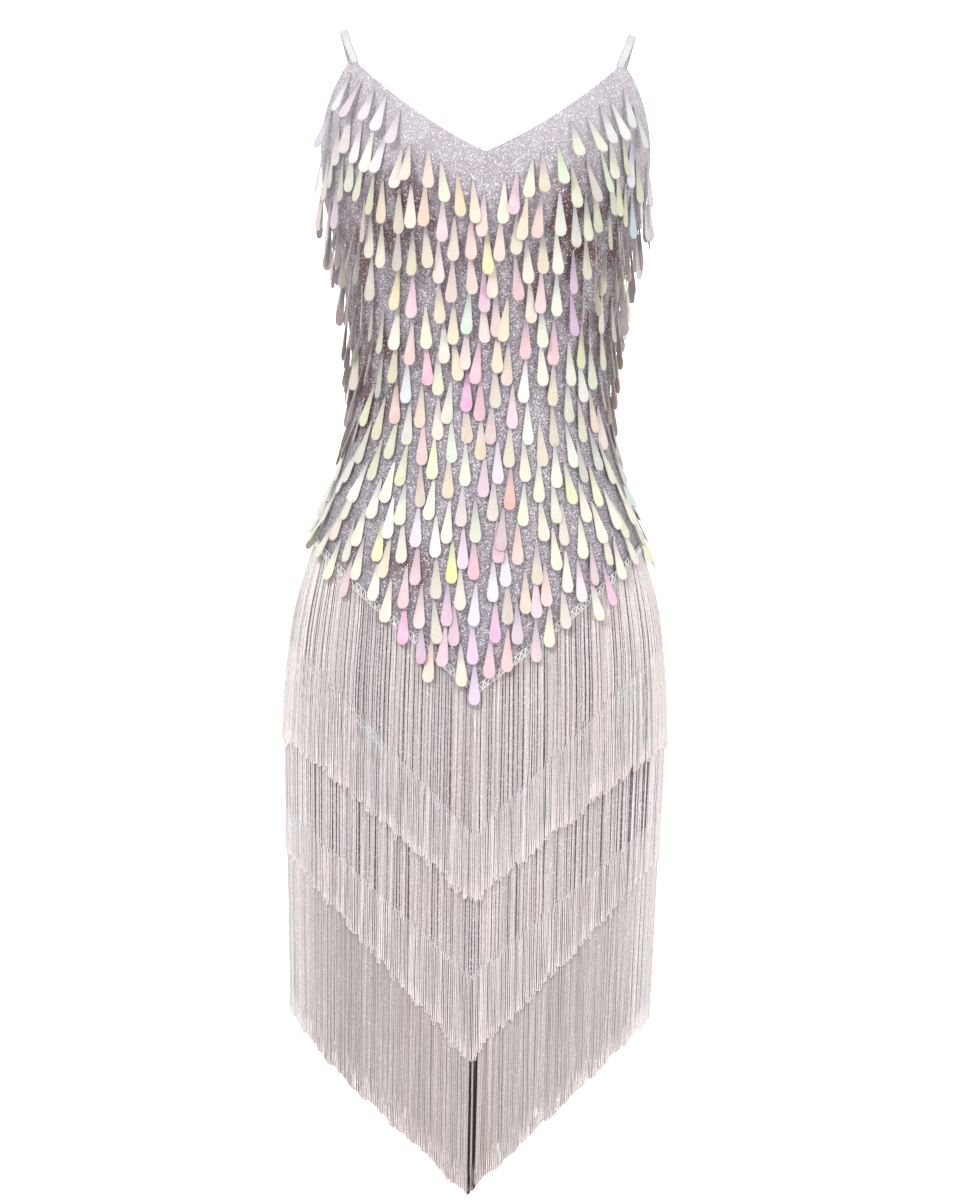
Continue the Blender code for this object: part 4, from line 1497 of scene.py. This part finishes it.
@dataclass
class Strap:
    """Clear strap from a front strap point over the shoulder to the back one."""

    form: DressForm
    panel: Panel
    mirror: float
    width: float = 0.0078
    thickness: float = 0.0011
    stations: int = 72
    sewn: float = 0.012
    cad_cloth: float = 0.0015
    gap: float = 0.0006
    shoulder_normal: tuple = (0.30, 0.0, 0.95)
    clear_tone: float = 0.9
    # Painted shade taken off the tone along the edges, where clear plastic bends the light away
    edge_shade: tuple = (0.44, 0.44, 0.41)
    route: tuple = (
        (0.1275, -0.0500, -0.0180),
        (0.1322, -0.0240, -0.0040),
        (0.1335, 0.0020, -0.0006),
        (0.1312, 0.0320, -0.0075),
        (0.1240, 0.0640, -0.0330),
        (0.1120, 0.0825, -0.0700),
    )

    def end(self, x: float, z: float, side: Side) -> tuple[Array, Array]:
        """Two points just inside a panel's strap point, and the cloth's normal there."""
        inset = -(self.cad_cloth + self.gap + self.thickness / 2.0)
        heights = np.array([z - self.sewn, z + 0.0003])
        points = self.form.point(np.full(2, self.panel.u_at(x, z)), heights, side, inset)
        return points, self.form.normal(points[1], side)

    def curve(self, points: list[Array | tuple]) -> Array:
        """Even steps along a Catmull-Rom curve through the points."""
        p = np.array(points)
        p = np.vstack([2 * p[0] - p[1], p, 2 * p[-1] - p[-2]])
        t = np.linspace(0.0, len(points) - 1.0, self.stations)
        i = np.minimum(t.astype(int), len(points) - 2)
        s = (t - i)[:, None]
        a, b, c, d = p[i], p[i + 1], p[i + 2], p[i + 3]
        cubic = (2 * a - 5 * b + 4 * c - d) * s**2 + (3 * b - a - 3 * c + d) * s**3
        return 0.5 * (2 * b + (c - a) * s + cubic)

    def build(self, finish: Finish) -> Item:
        """Carries a flat oval section along the strap's route."""
        front, front_normal = self.end(self.panel.point_x, self.panel.point_z, Side.FRONT)
        back, back_normal = self.end(self.panel.back_point_x, self.panel.back_point_z, Side.BACK)
        path = self.curve([*front, *self.route, *back[::-1]])
        t = np.linspace(-1.0, 1.0, self.stations)[:, None]
        crown = (1.0 - np.abs(t)) ** 0.7
        normal = crown * np.array(self.shoulder_normal)
        normal = normal + (1.0 - crown) * np.where(t < 0, front_normal, back_normal)
        along = unit(np.gradient(path, axis=0))
        across = unit(np.cross(along, normal))
        up = np.cross(across, along)
        turn = np.linspace(0.0, 2.0 * math.pi, 17)[:-1]
        wide = np.sign(np.cos(turn)) * np.abs(np.cos(turn)) ** 0.45 * self.width / 2.0
        high = np.sign(np.sin(turn)) * np.abs(np.sin(turn)) ** 0.8 * self.thickness / 2.0
        ring = path[:, None] + across[:, None] * wide[None, :, None] + up[:, None] * high[None, :, None]
        points = (ring * np.array([self.mirror, 1.0, 1.0])).reshape(-1, 3)
        index = np.arange(len(points)).reshape(self.stations, 16)
        near, far = index[:-1], index[1:]
        quads = np.stack([near, np.roll(near, -1, 1), np.roll(far, -1, 1), far], axis=-1).reshape(-1, 4)
        caps = [index[:1, ::-1], index[-1:]]
        faces = [quads, *caps]
        if self.mirror < 0.0:
            faces = flipped(faces)
        name = "left" if self.mirror < 0.0 else "right"
        piece = make_piece(f"clear_strap_{name}", points, faces, finish)
        # Painted shade along both edges of the strap
        edge = np.tile(np.abs(wide) * 2.0 / self.width, self.stations)[:, None]
        edge = ramp(edge, 0.66, 0.2)
        add_colour(piece, "tint", self.clear_tone - np.array(self.edge_shade) * edge)
        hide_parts(f"strap_{name}")
        return piece


@dataclass
class Studio:
    """Pale floor that turns up into a backdrop, soft lights and the camera."""

    scale: float = 0.00092
    picture: tuple = (960, 1200)
    centre_column: float = 477.6
    zero_row: float = 32.0
    distance: float = 5.0
    roll_degrees: float = 1.05
    floor_z: float = -1.42
    bend_y: float = 5.8
    bend_radius: float = 2.0
    wall_top: float = 5.0
    half_breadth: float = 9.0
    pale: tuple = (0.94, 0.94, 0.94, 1.0)
    paler: tuple = (0.96, 0.96, 0.96, 1.0)
    cloud_scale: float = 1.5
    surroundings: float = 0.67

    def floor(self) -> None:
        """A wide pale floor in front and below, rounded up into a wall behind."""
        shader = Shader("pale_floor")
        tone = shader.mix(shader.noise(self.cloud_scale), self.pale, self.paler)
        shader.set(Base_Color=tone, Roughness=0.9)
        turn = np.linspace(0.0, math.pi / 2.0, 17)
        y = np.concatenate([[-9.0], self.bend_y + self.bend_radius * np.sin(turn)])
        z = np.concatenate([[0.0], self.bend_radius * (1.0 - np.cos(turn))]) + self.floor_z
        y, z = np.append(y, y[-1]), np.append(z, self.wall_top)
        x = np.array([-self.half_breadth, self.half_breadth])[:, None]
        points = np.stack(np.broadcast_arrays(x, y[None, :], z[None, :]), axis=-1).reshape(-1, 3)
        mesh = bpy.data.meshes.new("floor")
        mesh.from_pydata(points.tolist(), [], grid_faces(2, len(y), 0, True).tolist())
        mesh.polygons.foreach_set("use_smooth", np.ones(len(y) - 1, bool))
        mesh.materials.append(shader.material)
        item = bpy.data.objects.new("floor", mesh)
        bpy.context.scene.collection.objects.link(item)

    def lamp(self, name: str, place: tuple, aim: tuple, size: float, power: float) -> None:
        """Adds a square soft light.

        Args:
            name: The light's name.
            place: Where it stands.
            aim: The point that it is turned to.
            size: Length of its side.
            power: Its power in watts.
        """
        data = bpy.data.lights.new(name, "AREA")
        data.size = size
        data.energy = power
        item = bpy.data.objects.new(name, data)
        item.location = place
        item.rotation_euler = (Vector(aim) - Vector(place)).to_track_quat("-Z", "Y").to_euler()
        bpy.context.scene.collection.objects.link(item)

    def light(self) -> None:
        """White surroundings, a key from the upper left, a weaker fill and a light on the wall."""
        world = bpy.data.worlds.new("studio")
        world.use_nodes = True
        world.node_tree.nodes["Background"].inputs[0].default_value = (1.0, 1.0, 1.0, 1.0)
        world.node_tree.nodes["Background"].inputs[1].default_value = self.surroundings
        bpy.context.scene.world = world
        middle = (0.0, 0.0, -0.5)
        self.lamp("key", place=(-1.5, -3.0, 1.6), aim=middle, size=0.7, power=58.0)
        self.lamp("fill", place=(2.2, -3.0, 0.3), aim=middle, size=1.8, power=39.0)
        self.lamp("wall_light", place=(0.0, 4.3, 2.6), aim=(0.0, 7.8, -0.4), size=2.5, power=330.0)
        bpy.context.scene.view_settings.view_transform = "Standard"

    def camera(self) -> None:
        """Camera level with the middle of the picture, at the picture's scale."""
        data = bpy.data.cameras.new("camera")
        tall = self.picture[1] * self.scale
        data.sensor_width = 36.0
        data.lens = data.sensor_width * self.distance / tall
        item = bpy.data.objects.new("camera", data)
        x = (self.picture[0] / 2.0 - self.centre_column) * self.scale
        z = (self.zero_row - self.picture[1] / 2.0) * self.scale
        item.location = (x, -self.distance, z)
        level, roll = Matrix.Rotation(math.radians(90.0), 4, "X"), math.radians(self.roll_degrees)
        item.rotation_euler = (level @ Matrix.Rotation(roll, 4, "Z")).to_euler()
        bpy.context.scene.collection.objects.link(item)
        bpy.context.scene.camera = item


def main() -> None:
    """Builds the dress piece by piece, then the studio."""
    logging.basicConfig(level=logging.INFO, format="%(message)s")
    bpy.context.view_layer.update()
    form = DressForm()
    knit = KnitFinish().material()
    film = PailletteFinish().material()
    bead = BeadFinish().material()
    yarn = YarnFinish("fringe_yarn", (0.96, 0.885, 0.875, 1.0)).material()
    braid = YarnFinish("braid_yarn", (0.97, 0.95, 0.96, 1.0), 0.3).material()
    strap = StrapFinish().material()
    for side in Side:
        panel = Panel(form, side)
        cloth = panel.build(knit)
        sewn = Paillettes(form, panel, side, 11 + side.value).build(film, bead)
        for tier in TIERS:
            sewn += Fringe(form, tier, side, 40 + 7 * tier.number + side.value).build(yarn, braid)
        log.info("%s: %d pieces on %s", side.word, len(sewn), cloth.name)
    front = Panel(form, Side.FRONT)
    for mirror in (-1.0, 1.0):
        log.info("made %s", Strap(form, front, mirror).build(strap).name)
    studio = Studio()
    studio.floor()
    studio.light()
    studio.camera()


if __name__ == "__main__":
    main()
